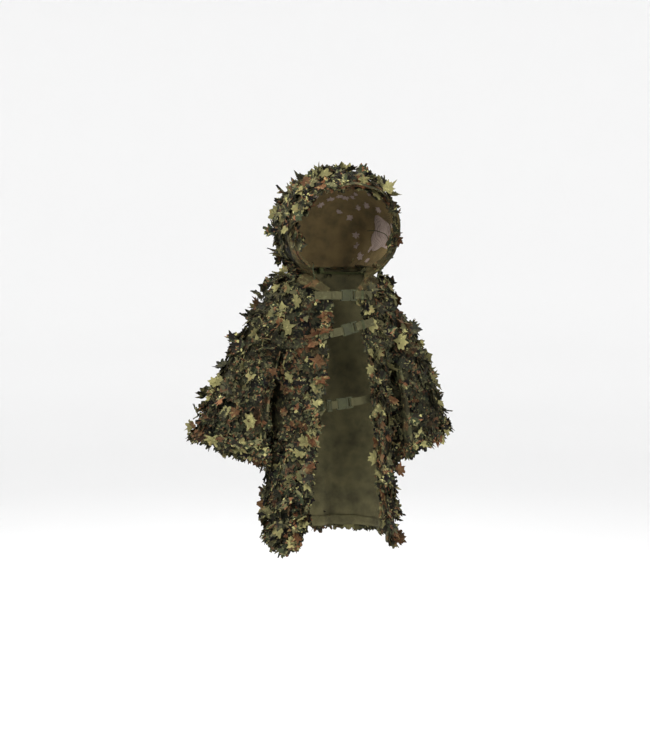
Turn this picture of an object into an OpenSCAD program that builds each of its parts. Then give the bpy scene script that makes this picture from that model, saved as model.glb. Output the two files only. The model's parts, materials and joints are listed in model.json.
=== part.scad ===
// Leaf ghillie suit: a hooded over-jacket with wide sleeves, an open front and three buckled straps.
// The wearer faces -Y, +X is the wearer's left and +Z is up.
// The origin is the centre of the hang loop inside the back of the neck.

/* [Jacket] */
// Half width of the jacket over the shoulders
shoulder_half_w = 214; // [205:1:222]
// Half width at the armpits
armpit_half_w = 198; // [190:1:202]
// Half width at the waist
waist_half_w = 203; // [196:1:208]
// Half width at the hem
hem_half_w = 206; // [204:1:214]
// Half depth at the chest
chest_half_d = 128; // [120:1:135]
// Half depth at the waist
waist_half_d = 140; // [134:1:146]
// Half depth at the hem
hem_half_d = 160; // [150:1:175]
// Half width of the neckline
neck_half_w = 112; // [106:1:118]
// Distance from the wearer's axis to the neckline in front
neck_front_d = 118; // [110:1:122]
// Distance from the wearer's axis to the neckline behind
neck_back_d = 96; // [94:1:100]
// How far the neckline drops in front
neck_drop = 75; // [60:1:85]
// Height of the chest line, below the neck
chest_z = -112; // [-120:1:-105]
// Height of the armpits
armpit_z = -272; // [-285:1:-260]
// Height of the waist seam
waist_z = -452; // [-460:1:-445]
// Height of the hem at the front edges
hem_front_z = -805; // [-840:1:-780]
// Height of the lowest corner of the front flaps
hem_side_z = -878; // [-930:1:-870]
// Height of the hem at the side vents
hem_vent_z = -848; // [-870:1:-830]
// Height of the hem at the back
hem_back_z = -846; // [-860:1:-800]
// Half width of the front opening at the neck
front_gap_top = 46; // [42:1:50]
// How much wider the half opening is at the hem
front_gap_flare = 85; // [75:1:95]
// Depth of the leaf layer that stands on the cloth
leaf_depth = 20; // [12:1:22]

/* [Sleeves] */
// Height of the shoulder point that the sleeve hangs from
shoulder_z = -62; // [-66:1:-58]
// Distance out to the outer corner of the sleeve hem
sleeve_hem_x = 428; // [415:1:440]
// Height of the outer corner of the sleeve hem
sleeve_hem_z = -525; // [-540:1:-490]
// Distance out to the inner corner of the sleeve hem
sleeve_inner_x = 246; // [243:1:252]
// Height of the inner corner of the sleeve hem
sleeve_inner_z = -606; // [-625:1:-590]
// Half depth of the sleeve at its hem
sleeve_hem_d = 122; // [105:1:135]
// Half depth of the armhole
armhole_d = 82; // [78:1:86]
// How far the sleeve hem hangs behind the wearer's axis
sleeve_set_back = 45; // [30:1:60]
// How far the front of the sleeve hem swings in towards the body
sleeve_swing = 45; // [0:1:48]

/* [Hood] */
// Half width of the hood at its rim
hood_half_w = 186; // [178:1:192]
// Height of the middle of the hood's rim
hood_mid_z = 126; // [122:1:132]
// Height of the rim above and below that middle
hood_half_h = 158; // [154:1:164]
// Half angle of the rim round its middle, counted from the top
hood_rim_angle = 140; // [136:1:142]
// How far the rim stands in front of the wearer's axis at the neck
hood_rim_out = 124; // [116:1:128]

/* [Straps] */
// Width of the webbing
web_w = 25; // [24:1:26]
// Thickness of the webbing
web_t = 1.6; // [1.4:0.1:2]
// Outer width of a side release buckle
buckle_w = 36; // [35:0.5:38]
// Thickness of a side release buckle
buckle_t = 10; // [9.5:0.5:11]
// Length of the socket half of a buckle
socket_l = 34; // [32:1:36]
// Height of the top strap
top_strap_z = -76; // [-80:1:-72]
// Height of the second strap
second_strap_z = -180; // [-190:1:-170]
// Height of the waist strap
waist_strap_z = -418; // [-425:1:-415]
// Tilt of the second strap in degrees
second_tilt = 14; // [8:1:16]
// Tilt of the waist strap in degrees
waist_tilt = 6; // [2:1:8]

/* [Hang loop] */
// Inner radius of the hang loop
loop_r = 9; // [8:0.5:10]
// Width of the hang loop's tape
loop_w = 12; // [10:1:14]

/* [Hidden] */
// The wearer's upright axis, measured from the hang loop
body_axis_y = -78;
// Lining: a thin mesh cloth just inside the cover
lining_in = -6;
lining_out = -3;
// Cover: cloth with the leaf layer outside it
cover_in = 0;
cover_edge = 6;
// Plain cloth strips
strip_out = 4;
// Width of the plain strip along a front edge
facing_w = 16;
// Half the clearance between the jacket and the skirt at the waist seam
waist_half_gap = 5;
// Places down the jacket, as levels: 0 neck, 1 chest, 2 waist
band_level = 0.2;
tape_level = 0.14;
shoulder_level = 0.68;
armpit_level = 1 + (armpit_z - chest_z) / (waist_z - chest_z);
side_angle = 90;
armhole_angle = 30;
vent_angle = 98;
// Where the neckline changes from collar band to neck tape
collar_angle = 58;
loop_t = 1.6;
// Inside of the buckle's socket
cavity_w = 27;
cavity_t = 6;
// Webbing path inside a keeper, which holds two layers, and a slider
tunnel_w = 26.6;
keeper_tunnel_t = 4.2;
slider_tunnel_t = 4.4;
camo = [0.33, 0.34, 0.22];
camo_dark = [0.25, 0.25, 0.19];
mesh_olive = [0.36, 0.32, 0.2];
webbing = [0.33, 0.34, 0.2];
plastic = [0.26, 0.28, 0.17];

function mix(a, b, t) = a + (b - a) * t;
function clamp01(t) = max(0, min(1, t));
function ease(t) = clamp01(t) * clamp01(t) * (3 - 2 * clamp01(t));

// Half width and half depth of the jacket at a height
function half_w(z) = lookup(z, [
    [hem_side_z, hem_half_w], [waist_z, waist_half_w],
    [armpit_z, armpit_half_w], [chest_z, shoulder_half_w]
]);
function half_d(z) = lookup(z, [
    [hem_side_z, hem_half_d], [waist_z, waist_half_d], [chest_z, chest_half_d]
]);
function neck_d(th) = cos(th) > 0 ? neck_front_d : neck_back_d;
function neck_point(th) = [
    neck_half_w * sin(th), -neck_d(th) * cos(th), -neck_drop * pow(max(0, cos(th)), 3)
];
function ring_point(th, z) = [half_w(z) * sin(th), -half_d(z) * cos(th), z];
// The shoulder line runs out from the neck and turns down
function out_share(t) = 0.3 * t + 0.7 * sin(90 * t);
function down_share(t) = 0.35 * t + 0.65 * (1 - cos(90 * t));
function yoke_point(th, t) =
    let (n = neck_point(th), c = ring_point(th, chest_z))
    [mix(n.x, c.x, out_share(t)), mix(n.y, c.y, out_share(t)), mix(n.z, c.z, down_share(t))];
function level_z(t) = mix(chest_z, waist_z + waist_half_gap, t - 1);
// Point on the jacket at an angle from the front and a level from 0 to 2
function jacket_point(th, t) = t <= 1 ? yoke_point(th, t) : ring_point(th, level_z(t));
function level_half_w(t) =
    t <= 1 ? mix(neck_half_w, half_w(chest_z), out_share(t)) : half_w(level_z(t));
// The front opening widens downwards
function front_gap(z) =
    front_gap_top + front_gap_flare * pow(max(0, (-60 - z) / (hem_front_z + 60) * -1), 0.7);
function nominal_z(t) = t <= 1 ? mix(-60, chest_z, t) : level_z(t);
function front_angle(t, inset) = asin((front_gap(nominal_z(t)) + inset) / level_half_w(t));
function side_cut(t) =
    armhole_angle * sin(180 * clamp01((t - shoulder_level) / (armpit_level - shoulder_level)));

// Point on a surface f(u, v), moved d along its outward normal
function shifted(f, u, v, d) =
    let (
        e = 0.002,
        ua = max(0, u - e), ub = min(1, u + e), va = max(0, v - e), vb = min(1, v + e),
        n = cross(f(u, vb) - f(u, va), f(ub, v) - f(ua, v))
    )
    f(u, v) + n / norm(n) * d;
function distance_at(d, u, v) = is_function(d) ? d(u, v) : d;
function grid(f, nu, nv, d) = [
    for (i = [0:nu]) for (j = [0:nv]) shifted(f, i / nu, j / nv, distance_at(d, i / nu, j / nv))
];
// The leaf layer thins towards the edges of its panel, and under the arm
edge_share = 5;
underarm_share = 2;
sleeve_inside_share = 1.3;
function leafy(u, v) =
    cover_edge + leaf_depth * ease(edge_share * min(u, 1 - u)) * ease(edge_share * min(v, 1 - v));
function leafy_front(u, v) =
    cover_edge
    + leaf_depth * ease(min(edge_share * u, underarm_share * (1 - u))) * ease(edge_share * min(v, 1 - v));
function leafy_ring(u, v) =
    cover_edge
    + leaf_depth * ease(edge_share * min(v, 1 - v)) * ease(1 + sleeve_inside_share * cos(360 * u));

function quad(a, b, c, d) = [[a, b, c], [a, c, d]];
// Closed sheet between distances near and far outside the surface f(u, v)
module sheet(f, nu, nv, near, far) {
    n = (nu + 1) * (nv + 1);
    function id(i, j) = i * (nv + 1) + j;
    faces = concat(
        [for (i = [0:nu - 1]) for (j = [0:nv - 1])
            each quad(id(i, j), id(i + 1, j), id(i + 1, j + 1), id(i, j + 1))],
        [for (i = [0:nu - 1]) for (j = [0:nv - 1])
            each quad(n + id(i, j), n + id(i, j + 1), n + id(i + 1, j + 1), n + id(i + 1, j))],
        [for (i = [0:nu - 1])
            each quad(id(i, 0), n + id(i, 0), n + id(i + 1, 0), id(i + 1, 0))],
        [for (i = [0:nu - 1])
            each quad(id(i + 1, nv), n + id(i + 1, nv), n + id(i, nv), id(i, nv))],
        [for (j = [0:nv - 1])
            each quad(id(0, j + 1), n + id(0, j + 1), n + id(0, j), id(0, j))],
        [for (j = [0:nv - 1])
            each quad(id(nu, j), n + id(nu, j), n + id(nu, j + 1), id(nu, j + 1))]
    );
    polyhedron(concat(grid(f, nu, nv, near), grid(f, nu, nv, far)), faces);
}

// Closed tube wall between distances near and far outside f(u, v), which repeats in u
module tube_sheet(f, nu, nv, near, far) {
    n = (nu + 1) * (nv + 1);
    function id(i, j) = (i % nu) * (nv + 1) + j;
    faces = concat(
        [for (i = [0:nu - 1]) for (j = [0:nv - 1])
            each quad(id(i, j), id(i + 1, j), id(i + 1, j + 1), id(i, j + 1))],
        [for (i = [0:nu - 1]) for (j = [0:nv - 1])
            each quad(n + id(i, j), n + id(i, j + 1), n + id(i + 1, j + 1), n + id(i + 1, j))],
        [for (i = [0:nu - 1])
            each quad(id(i, 0), n + id(i, 0), n + id(i + 1, 0), id(i + 1, 0))],
        [for (i = [0:nu - 1])
            each quad(id(i + 1, nv), n + id(i + 1, nv), n + id(i, nv), id(i, nv))]
    );
    polyhedron(concat(grid(f, nu, nv, near), grid(f, nu, nv, far)), faces);
}

module on_body() { translate([0, body_axis_y, 0]) children(); }
module mirrored() { mirror([1, 0, 0]) children(); }

// ---- Jacket above the waist ----
module hang_loop() {
    color(webbing) {
        rotate([0, 90, 0]) difference() {
            cylinder(r = loop_r + loop_t, h = loop_w, center = true, $fn = 64);
            cylinder(r = loop_r, h = loop_w + 2, center = true, $fn = 64);
        }
        translate([-loop_w / 2, loop_r + loop_t - 0.8, -loop_t / 2])
            cube([loop_w, neck_back_d + body_axis_y - loop_r - 4, loop_t]);
    }
}

module neck_tape() {
    f = function (u, v) yoke_point(mix(collar_angle + 2, 358 - collar_angle, u), mix(0, tape_level, v));
    color(webbing) on_body() sheet(f, 24, 2, 0, 3);
}

module back_cover() {
    f = function (u, v)
        let (
            t = mix(tape_level + 0.05, 2, v),
            side = side_angle + 1 + side_cut(t)
        )
        jacket_point(mix(side, 360 - side, u), t);
    color(camo) on_body() sheet(f, 18, 16, cover_in, function (u, v) leafy(u, v));
}

module back_lining() {
    f = function (u, v)
        let (
            t = mix(tape_level + 0.05, 1.98, v),
            side = side_angle + 2 + side_cut(t)
        )
        jacket_point(mix(side, 360 - side, u), t);
    color(mesh_olive) on_body() sheet(f, 16, 12, lining_in, lining_out);
}

module front_cover() {
    f = function (u, v)
        let (t = mix(band_level + 0.04, 2, v))
        jacket_point(mix(front_angle(t, facing_w + 1), side_angle - 1 - side_cut(t), u), t);
    color(camo) on_body() sheet(f, 9, 16, cover_in, function (u, v) leafy_front(u, v));
}

module front_lining() {
    f = function (u, v)
        let (t = mix(band_level + 0.04, 1.98, v))
        jacket_point(mix(front_angle(t, 2), side_angle - 2 - side_cut(t), u), t);
    color(mesh_olive) on_body() sheet(f, 8, 12, lining_in, lining_out);
}

module front_facing() {
    f = function (u, v)
        let (t = mix(band_level + 0.04, 2, v))
        jacket_point(mix(front_angle(t, 0), front_angle(t, facing_w), u), t);
    color(camo_dark) on_body() sheet(f, 1, 16, cover_in, strip_out);
}

module collar_band() {
    f = function (u, v)
        let (t = mix(0, band_level, v))
        jacket_point(mix(front_angle(t, 0), collar_angle, u), t);
    color(camo_dark) on_body() sheet(f, 8, 3, cover_in, strip_out);
}

// ---- Hood: lines run from the rim to a short seam at the nape ----
hood_seam_half_w = 46;
hood_seam_z = 8;
function bezier(a, b, c, d, t) =
    a * pow(1 - t, 3) + b * 3 * t * pow(1 - t, 2) + c * 3 * t * t * (1 - t) + d * pow(t, 3);
// The rim leans forward as it rises
rim_lean = 0.12;
function hood_rim(psi) =
    let (z = hood_mid_z + hood_half_h * cos(psi))
    [hood_half_w * sin(psi), -hood_rim_out - rim_lean * z, z];
function hood_seam(psi) = [hood_seam_half_w * psi / hood_rim_angle, neck_back_d - 1, hood_seam_z];
// How the hood's lines leave the rim and arrive at the seam: outwards, back and up.
// In each pair the first number holds at the rim's ends and the second is added at the crown
leave_out = 12;
leave_back = [60, 57];
leave_up = [5, 72];
arrive_out = 118;
arrive_back = [-8, 142];
arrive_up = [8, 178];
function hood_leave(psi, c) =
    [leave_out * sin(psi), leave_back[0] + leave_back[1] * sqrt(c), leave_up[0] + leave_up[1] * c * c];
function hood_arrive(psi, c) = [
    arrive_out * sin(psi), arrive_back[0] + arrive_back[1] * pow(c, 0.4),
    arrive_up[0] + arrive_up[1] * pow(c, 0.8)
];
function hood_point(u, v) =
    let (psi = mix(-hood_rim_angle, hood_rim_angle, u), c = max(0, cos(psi * 90 / hood_rim_angle)))
    bezier(
        hood_rim(psi), hood_rim(psi) + hood_leave(psi, c),
        hood_seam(psi) + hood_arrive(psi, c), hood_seam(psi), v
    );
// Where the cover starts behind the rim channel, as a share of the way to the seam
hood_edge = 0.055;
// How quickly the hood's leaf layer grows from its neck edge and from its rim
hood_side_share = 8;
hood_rim_share = 4;

module hood_cover() {
    f = function (u, v) hood_point(mix(0.998, 0.002, u), mix(hood_edge, 0.99, v));
    color(camo) on_body()
        sheet(f, 24, 13, cover_in, function (u, v)
            cover_edge
            + leaf_depth * ease(hood_side_share * min(u, 1 - u))
            * ease(hood_rim_share * min(v + 0.08, 1 - v)));
}

module hood_lining() {
    f = function (u, v) hood_point(mix(0.996, 0.004, u), mix(hood_edge, 0.985, v));
    color(mesh_olive) on_body() sheet(f, 22, 11, lining_in, lining_out);
}

module hood_rim_channel() {
    f = function (u, v) hood_point(mix(1, 0, u), mix(0, hood_edge - 0.01, v));
    color(camo_dark) on_body() sheet(f, 32, 1, -7, strip_out);
}

module hood_brim() {
    brim_angle = 42;
    brim_reach = 30;
    f = function (u, v)
        let (
            psi = mix(brim_angle, -brim_angle, u), r = hood_rim(psi),
            lip = brim_reach * cos(90 * psi / (brim_angle + 2))
        )
        r + [0, -2 - lip * v, -3 - 0.25 * lip * v];
    color(camo_dark) on_body() sheet(f, 14, 2, -2, 2);
}

module hood_drawcord() {
    cord_r = 1.6;
    cord_l = 20;
    knot_r = 3;
    // Clearance in front of the rim channel
    out = 14;
    end = hood_rim(hood_rim_angle);
    color(webbing) on_body() for (side = [-1, 1])
        translate([side * (end.x - 2 * knot_r), end.y - out, end.z - 2]) {
            cylinder(r = cord_r, h = cord_l, $fn = 24);
            translate([0, 0, -2]) sphere(r = knot_r, $fn = 24);
        }
}

// ---- Sleeves ----
sleeve_top_x = 200;
sleeve_armpit_x = 221;
sleeve_bow = [16, 10];
sleeve_start = 0.02;
// How far the armhole curves in at its front and back
armhole_dip = 20;
function sleeve_outer(s) =
    [mix(sleeve_top_x, sleeve_hem_x, s), mix(shoulder_z, sleeve_hem_z, s)] + sleeve_bow * sin(180 * s);
function sleeve_under(s) =
    [mix(sleeve_armpit_x, sleeve_inner_x, s), mix(armpit_z - 6, sleeve_inner_z, s)];
function sleeve_point(phi, s) =
    let (
        o = sleeve_outer(s), i = sleeve_under(s), c = (o + i) / 2, e = (o - i) / 2,
        d = mix(armhole_d, sleeve_hem_d, ease(s)),
        dip = armhole_dip * pow(1 - s, 3) * pow(sin(phi), 2),
        swing = sleeve_swing * s * pow(max(0, -sin(phi)), 1.5)
    )
    [c.x + e.x * cos(phi) - dip - swing, sleeve_set_back * s + d * sin(phi), c.y + e.y * cos(phi)];

module sleeve_cover() {
    f = function (u, v) sleeve_point(360 * u, mix(sleeve_start, 0.955, v));
    color(camo) on_body() tube_sheet(f, 24, 9, cover_in, function (u, v) leafy_ring(u, v));
}

module sleeve_lining() {
    f = function (u, v) sleeve_point(360 * u, mix(0.04, 0.95, v));
    color(mesh_olive) on_body() tube_sheet(f, 20, 7, lining_in, lining_out);
}

module sleeve_hem() {
    f = function (u, v) sleeve_point(360 * u, mix(0.96, 1, v));
    color(camo_dark) on_body() tube_sheet(f, 28, 1, lining_in, strip_out + 3);
}

// ---- Skirt below the waist: two front flaps and a tail ----
// The hem is lowest at the flaps' corners and rises towards the front edges, the vents and the back
front_hem_angle = 35;
hem_corner_angle = 62;
back_hem_angle = 158;
function hem_share(th, from, to) = ease((th - from) / (to - from));
function hem_z(th) =
    th < hem_corner_angle
        ? mix(hem_front_z, hem_side_z, hem_share(th, front_hem_angle, hem_corner_angle))
        : th < vent_angle
            ? mix(hem_side_z, hem_vent_z, hem_share(th, hem_corner_angle, vent_angle))
            : mix(hem_vent_z, hem_back_z, hem_share(th, vent_angle, back_hem_angle));
skirt_top_z = waist_z - waist_half_gap;
function flap_point(u, v, inset) =
    let (
        nominal = mix(front_hem_angle, vent_angle - 3, u),
        z = mix(skirt_top_z, hem_z(nominal), v),
        th = mix(asin((front_gap(z) + inset) / half_w(z)), vent_angle - 3, u)
    )
    ring_point(th, z);
function tail_point(u, v) =
    let (th = mix(vent_angle, 180, u))
    ring_point(th, mix(skirt_top_z, hem_z(th), v));
function tail_full(u, v) =
    let (p = tail_point(1 - abs(2 * u - 1), v))
    [u < 0.5 ? p.x : -p.x, p.y, p.z];

module flap_cover() {
    f = function (u, v) flap_point(u, v, facing_w + 1);
    color(camo) on_body() sheet(f, 9, 10, cover_in, function (u, v) leafy(u, v));
}

module flap_lining() {
    f = function (u, v) flap_point(mix(0.03, 0.97, u), mix(0.01, 0.98, v), 2);
    color(mesh_olive) on_body() sheet(f, 8, 8, lining_in, lining_out);
}

module flap_facing() {
    f = function (u, v)
        let (z = mix(skirt_top_z, hem_front_z, v), gap = front_gap(z) + facing_w * u)
        ring_point(asin(gap / half_w(z)), z);
    color(camo_dark) on_body() sheet(f, 1, 12, cover_in, strip_out);
}

module tail_cover() {
    f = function (u, v) tail_full(u, mix(0, 0.955, v));
    color(camo) on_body() sheet(f, 18, 10, cover_in, function (u, v) leafy(u, v));
}

module tail_lining() {
    f = function (u, v) tail_full(mix(0.01, 0.99, u), mix(0.01, 0.95, v));
    color(mesh_olive) on_body() sheet(f, 16, 8, lining_in, lining_out);
}

module tail_hem() {
    f = function (u, v) tail_full(u, mix(0.965, 1, v));
    color(camo_dark) on_body() sheet(f, 20, 1, lining_in, strip_out + 2);
}

// ---- Straps: the webbing runs along X, the socket is on the wearer's right ----
function path_normal(p, i) =
    let (a = p[max(0, i - 1)], b = p[min(len(p) - 1, i + 1)], d = (b - a) / norm(b - a))
    [-d.y, d.x];
// Flat webbing that follows a path in the horizontal plane
module web(path) {
    n = len(path);
    outer = [for (i = [0:n - 1]) path[i] + path_normal(path, i) * web_t / 2];
    inner = [for (i = [n - 1:-1:0]) path[i] - path_normal(path, i) * web_t / 2];
    translate([0, 0, -web_w / 2]) linear_extrude(height = web_w) polygon(concat(outer, inner));
}

module plate(w, l, r) {
    offset(r = r, $fn = 32) square([l - 2 * r, w - 2 * r], center = true);
}

// Flat part with its outline in the X-Z plane and its thickness along Y
module slab(t) { rotate([90, 0, 0]) linear_extrude(height = t, center = true) children(); }

window_l = 11;
window_x = -16;
web_slot = 3.4;
module buckle_socket() {
    color(plastic) difference() {
        translate([-socket_l / 2, 0, 0]) slab(buckle_t) plate(buckle_w, socket_l, 5);
        translate([-24, -cavity_t / 2, -cavity_w / 2]) cube([25, cavity_t, cavity_w]);
        for (side = [-1, 1])
            translate([window_x, -cavity_t / 2 - 1, side > 0 ? cavity_w / 2 - 1 : -buckle_w / 2 - 1])
                cube([window_l, cavity_t + 2, (buckle_w - cavity_w) / 2 + 2]);
        translate([-socket_l + 2.6, -buckle_t, -web_w / 2 - 0.8])
            cube([web_slot, 2 * buckle_t, web_w + 1.6]);
    }
}

// Plug: a flange against the socket's mouth, a ladder for the webbing and a centre tongue
flange_l = 5.4;
flange_x = 3.2;
ladder_x = 3;
ladder_l = 20;
ladder_t = 5.2;
bar_l = 2.6;
bar_pitch = 7.6;
first_slot_x = 8;
tongue = [17.5, 4.4, 5.6];
tongue_x = -16.5;
module buckle_plug() {
    color(plastic) {
        translate([flange_x, 0, 0]) slab(buckle_t - 1) plate(buckle_w, flange_l, 1.6);
        difference() {
            translate([ladder_x + ladder_l / 2, 0, 0]) slab(ladder_t) plate(buckle_w, ladder_l, 2.5);
            for (x = [first_slot_x, first_slot_x + bar_pitch])
                translate([x, -ladder_t, -web_w / 2 - 0.8])
                    cube([bar_pitch - bar_l, 2 * ladder_t, web_w + 1.6]);
        }
        translate([tongue_x, -tongue.y / 2, -tongue.z / 2]) cube(tongue);
    }
}

// Springy arm of the plug, with the catch that fills the socket's window
module buckle_prong(side) {
    color(plastic) mirror([0, 0, side < 0 ? 1 : 0]) slab(4.6)
        polygon([
            [-0.2, 9.2], [-0.2, 12.2], [-5.6, 12.6], [-6.4, 16.6],
            [-8.6, 17.4], [-14, 13.4], [-18, 11.6], [-18, 9.8], [-8, 9.6]
        ]);
}

module tunnel_piece(l, w, t, tunnel_t) {
    difference() {
        slab(t) plate(w, l, 1.6);
        cube([l + 2, tunnel_t, tunnel_w], center = true);
    }
}

module keeper() { color(camo_dark) tunnel_piece(8, 30, 6.4, keeper_tunnel_t); }

module web_slider() {
    color(plastic) difference() {
        tunnel_piece(17, 38, 8, slider_tunnel_t);
        for (x = [-4, 4])
            translate([x, -4, 0]) cube([3.2, 6, tunnel_w], center = true);
    }
}

// Where each strap sits: its distance in front of the wearer's axis, its height and its tilt
module strap_place(depth, z, tilt) {
    on_body() translate([0, -depth, z]) rotate([0, -tilt, 0]) children();
}
top_depth = 151;
second_depth = 160;
waist_depth = 118;
// The socket's mouth, from the strap's middle
socket_end = 4;
module at_top() { strap_place(top_depth, top_strap_z, 0) children(); }
module at_second() { strap_place(second_depth, second_strap_z, second_tilt) children(); }
module at_waist() { strap_place(waist_depth, waist_strap_z, waist_tilt) children(); }
module at_buckle() { translate([socket_end, 0, 0]) children(); }

// Webbing round a bar: it crosses beside the bar at x = cross, passes x = past and closes up at x = merge
layer_y = 0.9;
function web_loop(cross, past, half, merge, tail) = [
    [merge, layer_y], [past, half], [cross, half],
    [cross, -half], [past, -half], [merge, -layer_y], [tail, -layer_y]
];
socket_bar_x = socket_end - socket_l;
plug_bar_x = socket_end + ladder_x + ladder_l;
function socket_loop(tail) =
    web_loop(socket_bar_x + 4.3, socket_bar_x - 1, buckle_t / 2 + 1, socket_bar_x - 14, tail);
function plug_loop(tail) =
    web_loop(plug_bar_x - 4.9, plug_bar_x + 2, 3.6, plug_bar_x + 11, tail);
// Chest webbing ends sewn flat on the front panels
module chest_web_right(reach) {
    color(webbing) web(concat([[-reach, 10], [-80, 5], [-60, layer_y]], socket_loop(-58)));
}
module chest_web_left(reach) {
    color(webbing) web(concat([[reach, 6], [62, layer_y]], plug_loop(60)));
}
// Waist webbing follows the inside of the jacket to the side seams
waist_start_angle = 25;
waist_end_angle = 50;
function waist_path(side) = [
    for (i = [5:-1:0])
        let (th = mix(waist_start_angle, waist_end_angle, i / 5))
        [side * (half_w(waist_strap_z) - 16) * sin(th),
         waist_depth - (half_d(waist_strap_z) - 17) * cos(th)]
];
module waist_web_right() {
    color(webbing) web(concat(waist_path(-1), [[-66, layer_y]], socket_loop(-62)));
}
module waist_web_left() {
    color(webbing) web(concat(waist_path(1), [[62, layer_y]], plug_loop(58)));
}
keeper_x = 46;
slider_x = -54;
// How far the sewn webbing ends reach from the strap's middle
top_reach_right = 112;
top_reach_left = 82;
second_reach_right = 100;
second_reach_left = 86;

hang_loop();
neck_tape();
back_cover();
back_lining();
front_cover();  // front_cover_left
mirrored() front_cover();  // front_cover_right
front_lining();  // front_lining_left
mirrored() front_lining();  // front_lining_right
front_facing();  // front_facing_left
mirrored() front_facing();  // front_facing_right
collar_band();  // collar_band_left
mirrored() collar_band();  // collar_band_right
hood_cover();
hood_lining();
hood_rim_channel();
hood_brim();
hood_drawcord();
sleeve_cover();  // sleeve_cover_left
mirrored() sleeve_cover();  // sleeve_cover_right
sleeve_lining();  // sleeve_lining_left
mirrored() sleeve_lining();  // sleeve_lining_right
sleeve_hem();  // sleeve_hem_left
mirrored() sleeve_hem();  // sleeve_hem_right
flap_cover();  // flap_cover_left
mirrored() flap_cover();  // flap_cover_right
flap_lining();  // flap_lining_left
mirrored() flap_lining();  // flap_lining_right
flap_facing();  // flap_facing_left
mirrored() flap_facing();  // flap_facing_right
tail_cover();
tail_lining();
tail_hem();
at_top() chest_web_right(top_reach_right);  // top_web_right
at_top() chest_web_left(top_reach_left);  // top_web_left
at_top() at_buckle() buckle_socket();  // top_buckle_socket
at_top() at_buckle() buckle_plug();  // top_buckle_plug
at_top() at_buckle() buckle_prong(1);  // top_prong_upper
at_top() at_buckle() buckle_prong(-1);  // top_prong_lower
at_top() translate([keeper_x, 0, 0]) keeper();  // top_keeper
at_second() chest_web_right(second_reach_right);  // second_web_right
at_second() chest_web_left(second_reach_left);  // second_web_left
at_second() at_buckle() buckle_socket();  // second_buckle_socket
at_second() at_buckle() buckle_plug();  // second_buckle_plug
at_second() at_buckle() buckle_prong(1);  // second_prong_upper
at_second() at_buckle() buckle_prong(-1);  // second_prong_lower
at_second() translate([keeper_x, 0, 0]) keeper();  // second_keeper
at_waist() waist_web_right();
at_waist() waist_web_left();
at_waist() at_buckle() buckle_socket();  // waist_buckle_socket
at_waist() at_buckle() buckle_plug();  // waist_buckle_plug
at_waist() at_buckle() buckle_prong(1);  // waist_prong_upper
at_waist() at_buckle() buckle_prong(-1);  // waist_prong_lower
at_waist() translate([slider_x, 0, 0]) web_slider();  // waist_slider
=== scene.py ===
"""Looks of the leaf ghillie suit: draped cloth, linings, thousands of cut leaves, straps and buckles."""

import json
import math

import bpy
import numpy as np
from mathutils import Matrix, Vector


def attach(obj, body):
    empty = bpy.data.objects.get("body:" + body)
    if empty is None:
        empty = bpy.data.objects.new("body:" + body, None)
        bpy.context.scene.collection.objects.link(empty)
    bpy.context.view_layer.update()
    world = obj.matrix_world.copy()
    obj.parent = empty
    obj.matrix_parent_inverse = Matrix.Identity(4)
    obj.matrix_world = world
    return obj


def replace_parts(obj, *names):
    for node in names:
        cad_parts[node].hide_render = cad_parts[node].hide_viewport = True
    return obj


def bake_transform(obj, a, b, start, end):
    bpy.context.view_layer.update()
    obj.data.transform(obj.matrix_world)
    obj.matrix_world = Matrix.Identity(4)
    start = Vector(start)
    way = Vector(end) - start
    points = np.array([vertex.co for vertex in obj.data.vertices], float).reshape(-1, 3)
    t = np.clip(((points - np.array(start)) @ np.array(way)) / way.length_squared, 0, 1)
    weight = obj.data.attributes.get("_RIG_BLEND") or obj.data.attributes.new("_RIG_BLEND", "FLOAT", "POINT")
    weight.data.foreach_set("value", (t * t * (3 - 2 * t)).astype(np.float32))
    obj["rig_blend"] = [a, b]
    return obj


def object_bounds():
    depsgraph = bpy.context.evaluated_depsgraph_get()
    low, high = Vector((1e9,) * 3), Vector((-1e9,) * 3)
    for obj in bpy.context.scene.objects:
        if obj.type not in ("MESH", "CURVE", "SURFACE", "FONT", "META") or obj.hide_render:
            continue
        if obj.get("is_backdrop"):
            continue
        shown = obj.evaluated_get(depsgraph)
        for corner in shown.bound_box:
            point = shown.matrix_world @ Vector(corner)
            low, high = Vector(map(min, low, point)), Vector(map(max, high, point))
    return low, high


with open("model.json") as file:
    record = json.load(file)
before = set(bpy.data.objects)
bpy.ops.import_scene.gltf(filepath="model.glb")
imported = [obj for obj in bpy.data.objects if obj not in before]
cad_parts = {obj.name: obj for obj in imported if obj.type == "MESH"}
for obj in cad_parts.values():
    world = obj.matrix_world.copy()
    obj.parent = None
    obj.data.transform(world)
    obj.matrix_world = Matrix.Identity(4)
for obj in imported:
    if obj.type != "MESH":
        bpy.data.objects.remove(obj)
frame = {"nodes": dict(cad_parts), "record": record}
cad_low, cad_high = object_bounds()
MOUNTS = {m["name"]: m["pos_m"] for m in frame["record"]["mounts"]}
RNG = np.random.default_rng(1707)

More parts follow.
